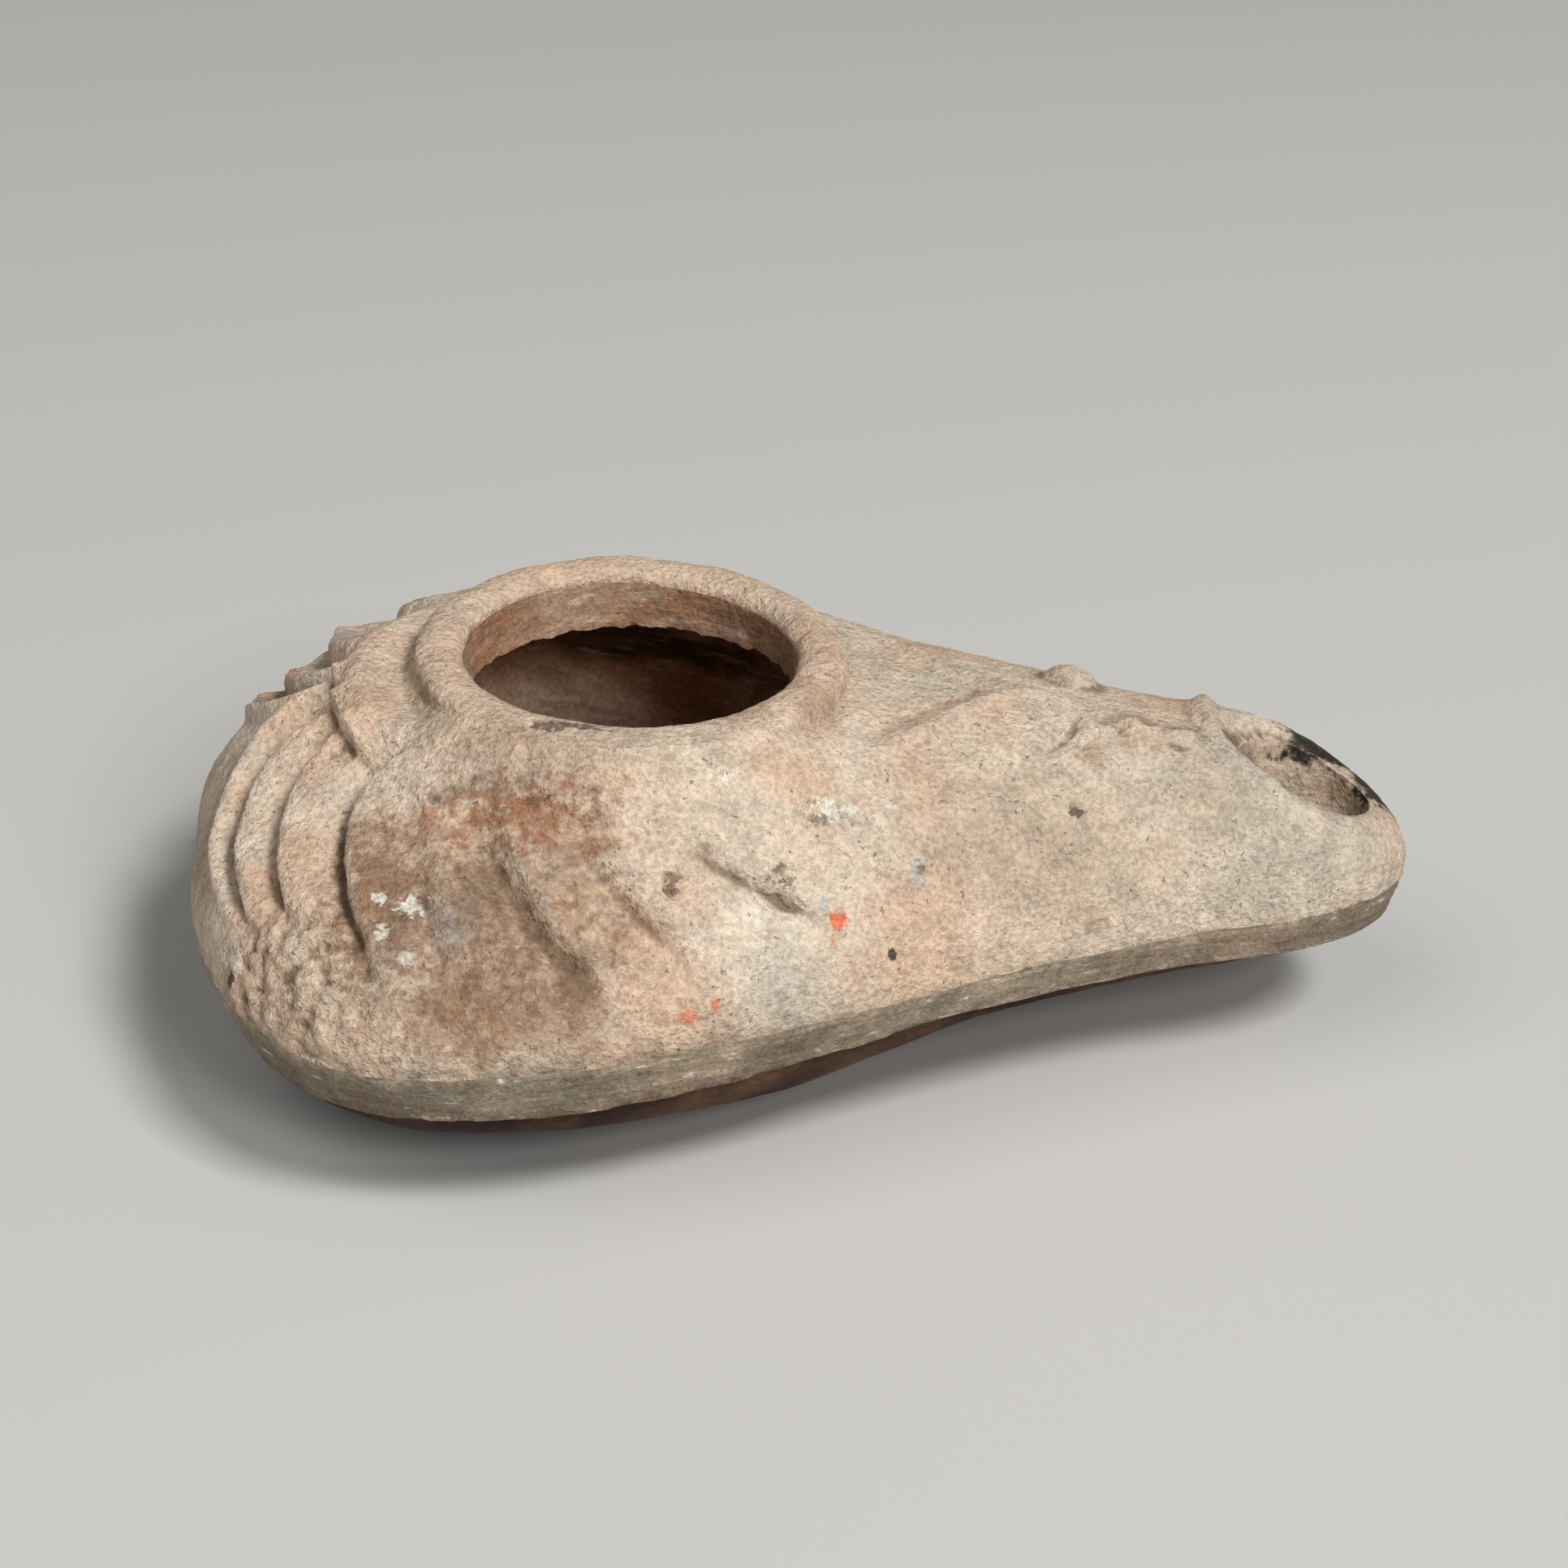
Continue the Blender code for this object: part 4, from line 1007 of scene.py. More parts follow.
def carved_shell(form, relief, slot_names):
    """The whole shell with its relief, before the wick hole is cut."""
    sections = shell_sections(form)
    points = np.array([ring for _, rings in sections for ring in rings])
    normals = surface_normals(points)
    heights = np.zeros(points.shape[:2])
    slots = []
    row = 0
    for name, rings in sections:
        rows = slice(row, row + len(rings))
        heights[rows] = RELIEFS[name](form, relief, points[rows])
        slots.extend([slot_names.index(FINISHES[name])] * len(rings))
        row += len(rings)
    shades = np.clip((heights - local_mean(heights, SHADE_ROWS)) / SHADE_DEPTH, -1.0, 1.0)
    points = points + normals * heights[..., None]
    points = np.clip(points, np.array(CAD_LOW), np.array(CAD_HIGH))
    return loft(points, slots, shades)


def wick_cutter(form, slot):
    """An uneven oval plug, wider at its top, that opens the nozzle into its channel."""
    rim = Skin(form).crest(WICK_HOLE_CENTRE) - WICK_DIP
    bottom = form.seam_height + BAND_HEIGHT_NOZZLE / 2.0
    turn = np.arange(WICK_COLUMNS) / WICK_COLUMNS * 2.0 * math.pi
    rings = []
    for step in range(WICK_ROWS + 1):
        height = bottom + (COLLAR_HEIGHT - bottom) * (step / WICK_ROWS) ** WICK_ROW_CROWDING
        flare = WICK_HOLE_FLARE * (height - rim)
        ring = np.stack([WICK_HOLE_CENTRE + (form.wick_hole_length / 2.0 + flare) * np.cos(turn),
                         (form.wick_hole_width / 2.0 + flare) * np.sin(turn),
                         np.full(WICK_COLUMNS, height)], axis=-1)
        out = np.stack([np.cos(turn), np.sin(turn), np.zeros(WICK_COLUMNS)], axis=-1)
        uneven = field(ring, *WICK_WALL_LUMPS)[:, None]
        rings.append(ring + out * WICK_WALL_ROUGHNESS * uneven)
    bm = loft(rings, [slot] * len(rings), np.zeros((len(rings), WICK_COLUMNS)))
    return mesh_object("wick_hole_cutter", bm)


def mesh_object(name, bm):
    """A new object made from a bmesh, which is then freed."""
    mesh = bpy.data.meshes.new(name)
    bm.to_mesh(mesh)
    bm.free()
    made = bpy.data.objects.new(name, mesh)
    bpy.context.scene.collection.objects.link(made)
    return made


def cut_out(body, tool):
    """Cut the tool's shape out of the body for good, and delete the tool."""
    step = body.modifiers.new("cut", "BOOLEAN")
    step.object = tool
    step.operation = "DIFFERENCE"
    step.solver = "EXACT"
    shown = body.evaluated_get(bpy.context.evaluated_depsgraph_get())
    mesh = bpy.data.meshes.new_from_object(shown)
    body.modifiers.remove(step)
    body.data = mesh
    bpy.data.objects.remove(tool)


class Nodes:
    """Adds and links the nodes of one material or node group."""

    def __init__(self, tree):
        self.tree = tree

    def feed(self, socket, value):
        """Link an output to a socket, or set the socket's own value."""
        if isinstance(value, bpy.types.NodeSocket):
            self.tree.links.new(value, socket)
        else:
            socket.default_value = value

    def add(self, kind, inputs=(), **settings):
        """A new node with its settings and inputs."""
        node = self.tree.nodes.new(kind)
        for name, value in settings.items():
            setattr(node, name, value)
        for key, value in dict(inputs).items():
            self.feed(node.inputs[key], value)
        return node

    def math(self, operation, first, second=0.0):
        """A sum, product or other number worked out from two."""
        return self.add("ShaderNodeMath", {0: first, 1: second}, operation=operation).outputs[0]

    def vector(self, operation, first, second=(0.0, 0.0, 0.0)):
        """A vector worked out from two."""
        return self.add("ShaderNodeVectorMath", {0: first, 1: second}, operation=operation).outputs[0]

    def noise(self, place, scale, detail=4.0, roughness=0.55, distortion=0.0):
        """Soft noise from 0 to 1."""
        inputs = {"Vector": place, "Scale": scale, "Detail": detail, "Roughness": roughness,
                  "Distortion": distortion}
        return self.add("ShaderNodeTexNoise", inputs).outputs[0]

    def rise(self, value, low, high):
        """Smooth step from 0 at low to 1 at high."""
        inputs = {"Value": value, "From Min": low, "From Max": high}
        return self.add("ShaderNodeMapRange", inputs, interpolation_type="SMOOTHSTEP").outputs[0]

    def blend(self, share, under, over):
        """Two colours blended by a share."""
        return self.add("ShaderNodeMix", {0: share, 6: under, 7: over}, data_type="RGBA").outputs[2]

    def wash(self, mask, amount, under, over):
        """A colour laid over another where a mask says, by this amount."""
        return self.blend(self.math("MULTIPLY", mask, amount), under, over)

    def give(self, out, **values):
        """Feed the outputs of a node group."""
        for name, value in values.items():
            self.feed(out[name], value)

    def place(self):
        """The place on the piece, in metres."""
        return self.add("ShaderNodeTexCoord").outputs["Object"]

    def group(self, tree, **inputs):
        """A node group with its inputs, whose names have spaces for underscores."""
        node = self.add("ShaderNodeGroup", node_tree=tree)
        for name, value in inputs.items():
            self.feed(node.inputs[name.replace("_", " ")], value)
        return node.outputs


def new_group(name, inputs, outputs):
    """An empty node group with named sockets, and its input and output nodes."""
    tree = bpy.data.node_groups.new(name, "ShaderNodeTree")
    for socket, kind, value in inputs:
        made = tree.interface.new_socket(name=socket, in_out="INPUT", socket_type=kind)
        made.default_value = value
    for socket in outputs:
        tree.interface.new_socket(name=socket, in_out="OUTPUT", socket_type="NodeSocketFloat")
    nodes = Nodes(tree)
    return nodes, nodes.add("NodeGroupInput").outputs, nodes.add("NodeGroupOutput").inputs


def grain_group():
    """Crumbly grain, pores, hairline cracks and pale flecks of fired clay."""
    nodes, given, out = new_group("clay_grain", (("Coarseness", "NodeSocketFloat", 1.0),),
                                  ("Cloud", "Mottle", "Crumb", "Pores", "Flecks", "Height"))
    place = nodes.vector("MULTIPLY", nodes.place(), given["Coarseness"])
    aside = nodes.vector("ADD", place, (3.1, 1.7, 0.4))
    mottle = nodes.noise(place, 380.0, 6.0, 0.65)
    crumb = nodes.noise(aside, 2200.0, 3.0, 0.7)
    grit = nodes.noise(place, 900.0, 3.0, 0.6)
    wander = nodes.noise(aside, 640.0, 3.0, 0.55, 0.8)
    off_line = nodes.math("ABSOLUTE", nodes.math("SUBTRACT", wander, 0.5))
    line = nodes.math("SUBTRACT", 1.0, nodes.rise(off_line, 0.001, 0.008))
    broken = nodes.rise(nodes.noise(place, 760.0, 2.0), 0.60, 0.66)
    cracks = nodes.math("MULTIPLY", line, broken)
    specks = nodes.rise(nodes.noise(place, 1500.0, 2.0, 0.6, 0.4), 0.70, 0.74)
    pores = nodes.math("MAXIMUM", specks, cracks)
    flecks = nodes.rise(nodes.noise(aside, 1400.0, 3.0, 0.6), 0.68, 0.72)
    bumps = nodes.math("ADD", nodes.math("MULTIPLY", grit, 1.4), crumb)
    height = nodes.math("SUBTRACT", bumps, nodes.math("MULTIPLY", pores, 0.5))
    cloud = nodes.noise(place, 75.0, 4.0, 0.6)
    nodes.give(out, Cloud=cloud, Mottle=mottle, Crumb=crumb, Pores=pores, Flecks=flecks, Height=height)
    return nodes.tree


def patch_group():
    """A ragged patch round a place: a stain, a lime crust or a touch of paint."""
    inputs = (
        ("Centre", "NodeSocketVector", (0.0, 0.0, 0.0)),
        ("Reach", "NodeSocketVector", (0.001, 0.001, 0.001)),
        ("Raggedness", "NodeSocketFloat", 0.5),
        ("Lumps", "NodeSocketFloat", 500.0),
        ("Softness", "NodeSocketFloat", 0.3),
        ("Strength", "NodeSocketFloat", 1.0),
    )
    nodes, given, out = new_group("ragged_patch", inputs, ("Mask",))
    place = nodes.place()
    apart = nodes.vector("DIVIDE", nodes.vector("SUBTRACT", place, given["Centre"]), given["Reach"])
    length = nodes.add("ShaderNodeVectorMath", {0: apart}, operation="LENGTH").outputs["Value"]
    torn = nodes.math("SUBTRACT", nodes.noise(place, given["Lumps"], 5.0, 0.65, 0.3), 0.5)
    inside = nodes.math("ADD", nodes.math("SUBTRACT", 1.0, length),
                        nodes.math("MULTIPLY", torn, nodes.math("MULTIPLY", given["Raggedness"], 2.0)))
    mask = nodes.rise(inside, 0.0, given["Softness"])
    nodes.give(out, Mask=nodes.math("MULTIPLY", mask, given["Strength"]))
    return nodes.tree


def streak_group():
    """Long streaks that run level round the lamp, as a blade or a wet hand leaves them."""
    nodes, given, out = new_group("level_streaks", (("Fineness", "NodeSocketFloat", 1.0),),
                                  ("Streaks", "Threads"))
    place = nodes.vector("MULTIPLY", nodes.place(), given["Fineness"])
    flat = nodes.vector("MULTIPLY", place, (0.12, 0.12, 1.0))
    finer = nodes.vector("MULTIPLY", place, (0.2, 0.2, 1.0))
    threads = nodes.rise(nodes.noise(finer, 1900.0, 3.0, 0.6), 0.57, 0.66)
    nodes.give(out, Streaks=nodes.noise(flat, 900.0, 5.0, 0.6), Threads=threads)
    return nodes.tree


def dirt_shade_and_wear_group():
    """Dirt and painted shade that darken the hollows, and worn clay on what stands out."""
    nodes, given, out = new_group("dirt_and_wear", (("Amount", "NodeSocketFloat", 1.0),), ("Dirt", "Worn"))
    relief = nodes.add("ShaderNodeAttribute", attribute_name="relief").outputs["Fac"]
    uneven = nodes.math("SUBTRACT", nodes.noise(nodes.place(), 800.0, 4.0, 0.65), 0.5)
    speckle = nodes.math("MULTIPLY", uneven, 0.7)
    # Hollows are darkened here: dirt and painted shade
    low = nodes.rise(nodes.math("SUBTRACT", speckle, relief), 0.12, 0.95)
    high = nodes.rise(nodes.math("ADD", speckle, relief), 0.15, 0.9)
    dirt = nodes.math("MULTIPLY", low, given["Amount"])
    nodes.give(out, Dirt=dirt, Worn=nodes.math("MULTIPLY", high, given["Amount"]))
    return nodes.tree


def new_material(name):
    """An empty node material, and its nodes."""
    material = bpy.data.materials.new(name)
    material.use_nodes = True
    material.node_tree.nodes.clear()
    return material, Nodes(material.node_tree)


def dry_shader(nodes, gloss, inputs):
    """A matt shader with these inputs, led to the material's surface."""
    shader = nodes.add("ShaderNodeBsdfPrincipled", {**inputs, "Specular IOR Level": gloss})
    nodes.add("ShaderNodeOutputMaterial", {"Surface": shader.outputs[0]})


def finish_clay(nodes, colour, roughness, height, depth):
    """The clay's shader: colour, dry roughness and a bump of this depth."""
    bump = nodes.add("ShaderNodeBump", {"Height": height, "Distance": depth, "Strength": 1.0})
    inputs = {"Base Color": colour, "Roughness": roughness, "Normal": bump.outputs[0]}
    dry_shader(nodes, CLAY_GLOSS, inputs)


# Marks on the top, laid over each other in this order. Each has the colour's name, the centre and the
# reach in millimetres, how ragged it is, the size of its lumps in millimetres, its softness and strength.
MARKS = (
    ("pink_clay_and_light", (-2.0, 2.0, 33.0), (24.0, 24.0, 7.0), 0.6, 9.0, 0.7, 0.75),
    ("pink_clay_and_light", (24.0, -24.0, 17.0), (9.0, 8.0, 6.0), 0.7, 6.0, 0.8, 0.20),
    ("grey_clay", (50.0, -4.0, 20.0), (24.0, 16.0, 12.0), 0.6, 8.0, 0.9, 0.85),
    ("grey_clay", (14.0, -28.5, 17.5), (7.5, 4.5, 5.0), 0.5, 3.0, 0.7, 0.55),
    ("worn_clay", (-24.0, -29.0, 17.0), (13.0, 10.0, 7.0), 0.8, 4.0, 0.6, 0.35),
    ("worn_clay", (-33.0, -8.0, 19.0), (5.0, 16.0, 7.0), 0.6, 5.0, 0.6, 0.50),
    ("worn_clay", (31.0, -14.0, 22.5), (16.0, 10.0, 9.0), 0.8, 4.0, 0.8, 0.80),
    # Painted light: a soft pale patch where the near shoulder faces the lamp
    ("lime_and_light", (10.6, -26.5, 21.0), (10.0, 5.0, 5.5), 0.7, 3.0, 1.0, 0.30),
    ("worn_clay", (-5.0, -17.0, 32.5), (15.0, 5.0, 4.0), 0.9, 2.0, 0.9, 0.55),
    ("rust", (-9.0, -16.4, 32.0), (11.0, 4.0, 3.4), 1.5, 0.9, 1.0, 0.25),
    # The band's colour, partly painted shade, laid over the shoulder just above the seam
    ("band_clay", (-6.0, 0.0, 13.6), (38.0, 75.0, 3.2), 0.9, 1.4, 0.8, 0.75),
    ("mineral", (-30.6, -4.0, 23.4), (3.6, 4.5, 3.6), 0.8, 1.6, 0.9, 0.45),
    ("dirt", (-15.6, -8.5, 31.8), (1.6, 9.0, 2.0), 1.6, 0.7, 0.8, 0.45),
    # Dark along two rib cracks: dirt and painted shade
    ("dirt", (-20.6, -21.0, 26.0), (1.0, 4.6, 3.0), 1.8, 0.7, 0.6, 0.70),
    ("dirt", (-18.4, -29.5, 22.0), (1.0, 4.4, 3.4), 1.8, 0.7, 0.6, 0.70),
    ("stain", (-9.0, -27.5, 24.0), (12.5, 10.5, 10.0), 0.7, 5.0, 0.9, 0.55),
    ("stain", (-7.5, -33.0, 18.5), (12.0, 5.0, 6.0), 0.8, 4.0, 0.8, 0.55),
    ("stain", (-9.5, -28.5, 22.5), (12.5, 10.5, 10.0), 2.4, 1.1, 1.4, 0.85),
    ("stain", (-3.0, -31.0, 20.0), (5.0, 4.5, 6.0), 1.6, 1.4, 1.0, 0.55),
    ("stain", (-17.8, -25.0, 24.6), (5.6, 10.0, 7.0), 1.3, 1.3, 0.8, 0.75),
    ("stain", (-12.0, -33.0, 18.0), (7.0, 4.0, 5.0), 1.8, 1.4, 1.0, 0.50),
    ("rust", (-7.0, -21.4, 28.9), (10.5, 5.0, 4.8), 1.4, 1.2, 1.0, 0.90),
    ("dirt", (-15.8, -28.5, 22.5), (2.2, 4.8, 4.0), 0.8, 2.0, 0.6, 0.5),
    ("dirt", (-9.8, -27.5, 24.5), (1.8, 4.2, 4.0), 0.8, 2.0, 0.6, 0.4),
    ("dirt", (-2.6, -31.5, 20.5), (2.2, 3.0, 4.0), 0.8, 2.0, 0.6, 0.5),
    ("dirt", (-9.5, -19.2, 30.0), (7.0, 2.0, 2.4), 1.6, 1.4, 1.0, 0.55),
    ("rust", (-2.2, -23.6, 27.7), (4.2, 3.0, 3.0), 1.5, 1.5, 1.2, 0.60),
    ("rust", (-15.5, -20.4, 27.6), (2.4, 1.8, 2.0), 1.4, 1.2, 1.0, 0.35),
    ("rust", (1.2, -28.6, 22.5), (2.6, 4.0, 4.5), 1.6, 1.2, 1.2, 0.35),
    ("rust", (13.6, 16.0, 31.0), (5.0, 4.0, 3.0), 0.9, 2.0, 0.7, 0.30),
    ("rust", (15.2, -8.0, 31.5), (3.2, 5.0, 2.0), 0.9, 2.0, 0.6, 0.35),
    ("rust", (-30.8, 11.5, 20.0), (4.0, 6.0, 6.0), 0.8, 2.0, 0.5, 0.55),
    ("rust", (39.8, -2.2, 27.0), (4.0, 2.0, 2.0), 0.9, 1.2, 0.6, 0.45),
    ("rust", (36.8, -6.4, 26.5), (1.8, 1.6, 2.0), 0.9, 1.4, 0.6, 0.45),
    ("rust", (37.1, -16.1, 17.2), (1.6, 1.0, 1.6), 0.9, 1.0, 0.6, 0.35),
    ("rust", (35.0, 4.6, 29.0), (2.6, 2.4, 2.2), 0.8, 1.2, 0.7, 0.35),
    ("grey_clay", (26.0, 1.0, 29.6), (6.5, 4.6, 2.6), 0.8, 2.0, 0.8, 0.40),
    ("lime_and_light", (7.4, -17.7, 30.0), (2.4, 1.5, 1.6), 1.8, 0.7, 0.9, 0.40),
    ("lime_and_light", (10.8, -25.0, 23.5), (3.2, 1.4, 2.0), 0.8, 2.0, 0.7, 0.25),
    ("lime_and_light", (-14.7, -27.4, 24.5), (1.3, 0.9, 1.1), 1.9, 0.45, 0.35, 0.85),
    ("lime_and_light", (-17.2, -26.7, 24.4), (0.7, 0.6, 0.7), 1.6, 0.4, 0.30, 0.85),
    ("lime_and_light", (-16.8, -29.2, 22.9), (0.6, 0.8, 1.2), 1.9, 0.5, 0.40, 0.70),
    ("lime_and_light", (-14.9, -30.9, 22.0), (0.8, 0.9, 1.4), 1.6, 0.8, 0.60, 0.45),
    ("lime_and_light", (-9.6, -22.2, 28.2), (1.3, 0.8, 1.0), 0.9, 0.8, 0.5, 0.35),
    ("lime_and_light", (15.7, -17.4, 27.3), (1.4, 0.9, 1.1), 1.7, 0.5, 0.35, 0.85),
    ("lime_and_light", (17.6, -16.8, 27.0), (1.0, 0.6, 0.8), 1.8, 0.5, 0.40, 0.70),
    ("lime_and_light", (20.4, -15.6, 26.8), (0.8, 0.6, 0.7), 1.3, 0.5, 0.40, 0.50),
    ("soot_and_shade", (15.2, -18.3, 27.0), (1.2, 0.5, 0.6), 1.6, 0.4, 0.50, 0.60),
    ("soot_and_shade", (12.6, -22.9, 24.6), (1.4, 0.7, 0.9), 1.8, 0.4, 0.60, 0.60),
    ("soot_and_shade", (4.4, -24.9, 25.6), (1.1, 0.7, 0.9), 1.8, 0.4, 0.60, 0.50),
    ("lime_and_light", (-22.5, -10.2, 27.0), (0.8, 1.6, 1.2), 1.4, 0.6, 0.3, 0.6),
    ("lime_and_light", (-28.6, -24.6, 18.4), (1.2, 1.8, 2.6), 2.0, 0.6, 0.9, 0.40),
    ("mineral", (22.7, -19.3, 23.3), (0.9, 1.3, 1.6), 1.6, 0.6, 0.5, 0.70),
    ("mineral", (-11.5, -29.0, 23.5), (2.4, 2.6, 3.2), 1.8, 0.9, 1.2, 0.40),
    ("mineral", (15.6, -23.4, 22.4), (0.7, 0.8, 0.9), 1.5, 0.5, 0.5, 0.60),
    ("red_paint", (16.9, -23.6, 21.5), (0.9, 0.9, 1.2), 1.2, 0.5, 0.40, 0.90),
    ("red_paint", (16.4, -24.4, 20.0), (0.3, 0.5, 1.1), 1.4, 0.5, 0.50, 0.45),
    ("red_paint", (5.8, -31.0, 17.2), (1.0, 0.7, 0.8), 1.5, 0.5, 0.70, 0.65),
    ("red_paint", (7.7, -30.0, 17.8), (0.4, 0.5, 0.7), 1.3, 0.4, 0.50, 0.75),
    ("red_paint", (-27.0, -25.9, 19.4), (0.5, 0.5, 0.7), 1.2, 0.4, 0.60, 0.55),
    ("red_paint", (11.2, -30.6, 15.2), (1.0, 0.8, 0.5), 1.6, 0.5, 0.80, 0.30),
    ("soot_and_shade", (21.0, -23.5, 18.4), (0.45, 0.5, 0.6), 0.8, 0.4, 0.3, 0.85),
    ("soot_and_shade", (35.5, -11.7, 24.5), (0.8, 0.6, 0.6), 1.1, 0.4, 0.3, 0.75),
    ("soot_and_shade", (-29.0, -25.8, 16.6), (0.6, 0.6, 0.9), 0.8, 0.4, 0.3, 0.8),
    ("soot_and_shade", (-22.0, -11.2, 27.0), (0.8, 1.0, 1.0), 1.0, 0.6, 0.4, 0.7),
    ("soot_and_shade", (-4.2, -14.8, 32.2), (4.0, 1.0, 1.4), 1.4, 0.9, 0.5, 0.7),
    ("soot_and_shade", (-13.6, -19.2, 28.8), (0.8, 0.6, 0.8), 1.8, 0.5, 0.9, 0.60),
    ("soot_and_shade", (-6.1, -20.5, 29.3), (1.4, 0.8, 0.9), 1.8, 0.6, 1.0, 0.50),
    ("soot_and_shade", (57.6, 6.6, 20.8), (5.6, 2.6, 3.6), 0.7, 1.2, 0.35, 0.97),
    ("soot_and_shade", (61.8, 3.6, 18.8), (2.6, 3.8, 3.6), 0.8, 1.0, 0.40, 0.95),
)

# Marks on the pared band, listed in the same way: the lower edge, darkened as painted shade under the band,
# and the grey tip
BAND_MARKS = (
    # Painted shade: the band's lower edge is darkened
    ("dirt", (0.0, 0.0, 8.6), (62.0, 62.0, 4.6), 0.6, 1.6, 0.6, 0.70),
    ("underside", (0.0, 0.0, 7.8), (72.0, 72.0, 4.0), 0.8, 1.4, 0.7, 0.60),
    ("dirt", (52.0, -8.0, 13.0), (18.0, 10.0, 5.0), 0.8, 1.6, 0.8, 0.35),
    ("worn_clay", (0.0, 0.0, 14.8), (75.0, 75.0, 2.0), 1.2, 1.0, 0.8, 0.60),
)

# Marks inside the lamp: the upper half of the far wall and the right side, darkened with the soot colour as
# painted shade, and the warm clay below it as a painted pool of light
CHAMBER_MARKS = (
    # Painted shade on the far wall and the right side
    ("soot_and_shade", (2.0, 33.0, 21.5), (34.0, 16.0, 7.6), 0.4, 4.0, 0.5, 0.90),
    ("soot_and_shade", (16.0, 20.0, 12.0), (14.0, 16.0, 8.0), 0.5, 4.0, 0.8, 0.60),
    # Painted pool of light where light falls through the hole
    ("pink_clay_and_light", (-7.0, 30.0, 11.0), (14.0, 9.0, 5.0), 0.5, 3.0, 0.6, 0.75),
    # Painted shade on the filling hole's right inner wall
    ("soot_and_shade", (12.6, 5.0, 28.6), (4.0, 9.0, 5.0), 0.8, 2.0, 0.8, 0.35),
)

# Marks on the wick hole's wall: a brown spot, dirt on the near wall, soot at the far rim, and darker towards
# the bottom
BURNT_MARKS = (
    ("stain", (59.0, 3.4, 18.6), (2.6, 1.8, 1.6), 1.4, 1.2, 0.8, 0.45),
    ("soot_and_shade", (51.0, -0.4, 20.0), (3.4, 5.0, 4.8), 0.8, 1.4, 0.9, 0.70),
    ("dirt", (55.0, -4.5, 20.0), (6.0, 1.6, 3.0), 0.6, 2.0, 0.7, 0.50),
    ("soot_and_shade", (57.8, 5.8, 21.4), (6.0, 2.6, 1.5), 0.9, 1.2, 0.4, 0.97),
    ("soot_and_shade", (61.4, 2.6, 19.6), (2.3, 3.4, 2.3), 0.9, 1.0, 0.4, 0.95),
    ("soot_and_shade", (55.0, 0.0, 14.5), (12.0, 9.0, 1.6), 0.5, 2.0, 0.6, 0.8),
)


def add_marks(nodes, patch, colours, base, marks):
    """Lay the marks over a base colour one after another."""
    colour = base
    for name, centre, reach, raggedness, lumps, softness, strength in marks:
        mask = nodes.group(patch, Centre=Vector(centre) * MM, Reach=Vector(reach) * MM,
                           Raggedness=raggedness, Lumps=1.0 / (lumps * MM), Softness=softness,
                           Strength=strength)["Mask"]
        colour = nodes.blend(mask, colour, getattr(colours, name)[:])
    return colour


def grained(nodes, colour, grain, dark, pale):
    """A colour with the grain's pores, flecks and mottling."""
    mottle = nodes.math("MULTIPLY", nodes.rise(grain["Mottle"], 0.32, 0.68), 0.32)
    crumb = nodes.math("MULTIPLY", nodes.rise(grain["Crumb"], 0.34, 0.66), 0.42)
    shade = nodes.math("ADD", 0.71, nodes.math("ADD", mottle, crumb))
    tinted = nodes.vector("MULTIPLY", colour, shade)
    pored = nodes.wash(grain["Pores"], 0.6, tinted, dark)
    return nodes.wash(grain["Flecks"], 0.35, pored, pale)


def shoulder_clay(groups, colours):
    """Pale buff clay of the top, with its stains, crusts, paint and soot, dirt and painted shade in its
    hollows, and a soft patch of painted light.
    """
    material, nodes = new_material("shoulder_clay")
    grain = nodes.group(groups["grain"], Coarseness=1.0)
    wear = nodes.group(groups["wear"], Amount=1.0)
    base = nodes.blend(nodes.rise(grain["Cloud"], 0.40, 0.65), colours.clay[:], colours.pink_clay_and_light[:])
    marked = add_marks(nodes, groups["patch"], colours, base, MARKS)
    # Hollows take the dark colour: dirt and painted shade
    dirtied_and_shaded = nodes.wash(wear["Dirt"], 0.8, marked, colours.dirt[:])
    bright = nodes.wash(wear["Worn"], 0.12, dirtied_and_shaded, colours.lime_and_light[:])
    colour = grained(nodes, bright, grain, colours.dirt[:], colours.lime_and_light[:])
    roughness = nodes.math("ADD", 0.80, nodes.math("MULTIPLY", grain["Mottle"], 0.2))
    finish_clay(nodes, colour, roughness, grain["Height"], SHOULDER_GRAIN_DEPTH)
    return material


def band_clay(groups, colours):
    """Knife-pared clay of the band, greyer and streaked, with lime on its lower edge; its colour is darker
    partly as painted shade below the seam.
    """
    material, nodes = new_material("band_clay")
    grain = nodes.group(groups["grain"], Coarseness=1.2)
    wear = nodes.group(groups["wear"], Amount=0.8)
    streak = nodes.group(groups["streak"], Fineness=1.0)
    clay = nodes.wash(nodes.rise(grain["Cloud"], 0.42, 0.62), 0.6, colours.band_clay[:], colours.worn_clay[:])
    base = add_marks(nodes, groups["patch"], colours, clay, BAND_MARKS)
    dark = nodes.wash(nodes.rise(streak["Streaks"], 0.45, 0.68), 0.55, base, colours.dirt[:])
    threads = nodes.math("MULTIPLY", streak["Threads"], nodes.rise(grain["Mottle"], 0.5, 0.62))
    limed = nodes.wash(threads, 0.55, dark, colours.lime_and_light[:])
    # Hollows take the dark colour: dirt and painted shade
    dirtied_and_shaded = nodes.wash(wear["Dirt"], 0.7, limed, colours.dirt[:])
    bright = nodes.wash(wear["Worn"], 0.35, dirtied_and_shaded, colours.clay[:])
    colour = grained(nodes, bright, grain, colours.dirt[:], colours.lime_and_light[:])
    height = nodes.math("ADD", grain["Height"], nodes.math("MULTIPLY", streak["Streaks"], 2.0))
    finish_clay(nodes, colour, 0.9, height, BAND_GRAIN_DEPTH)
    return material


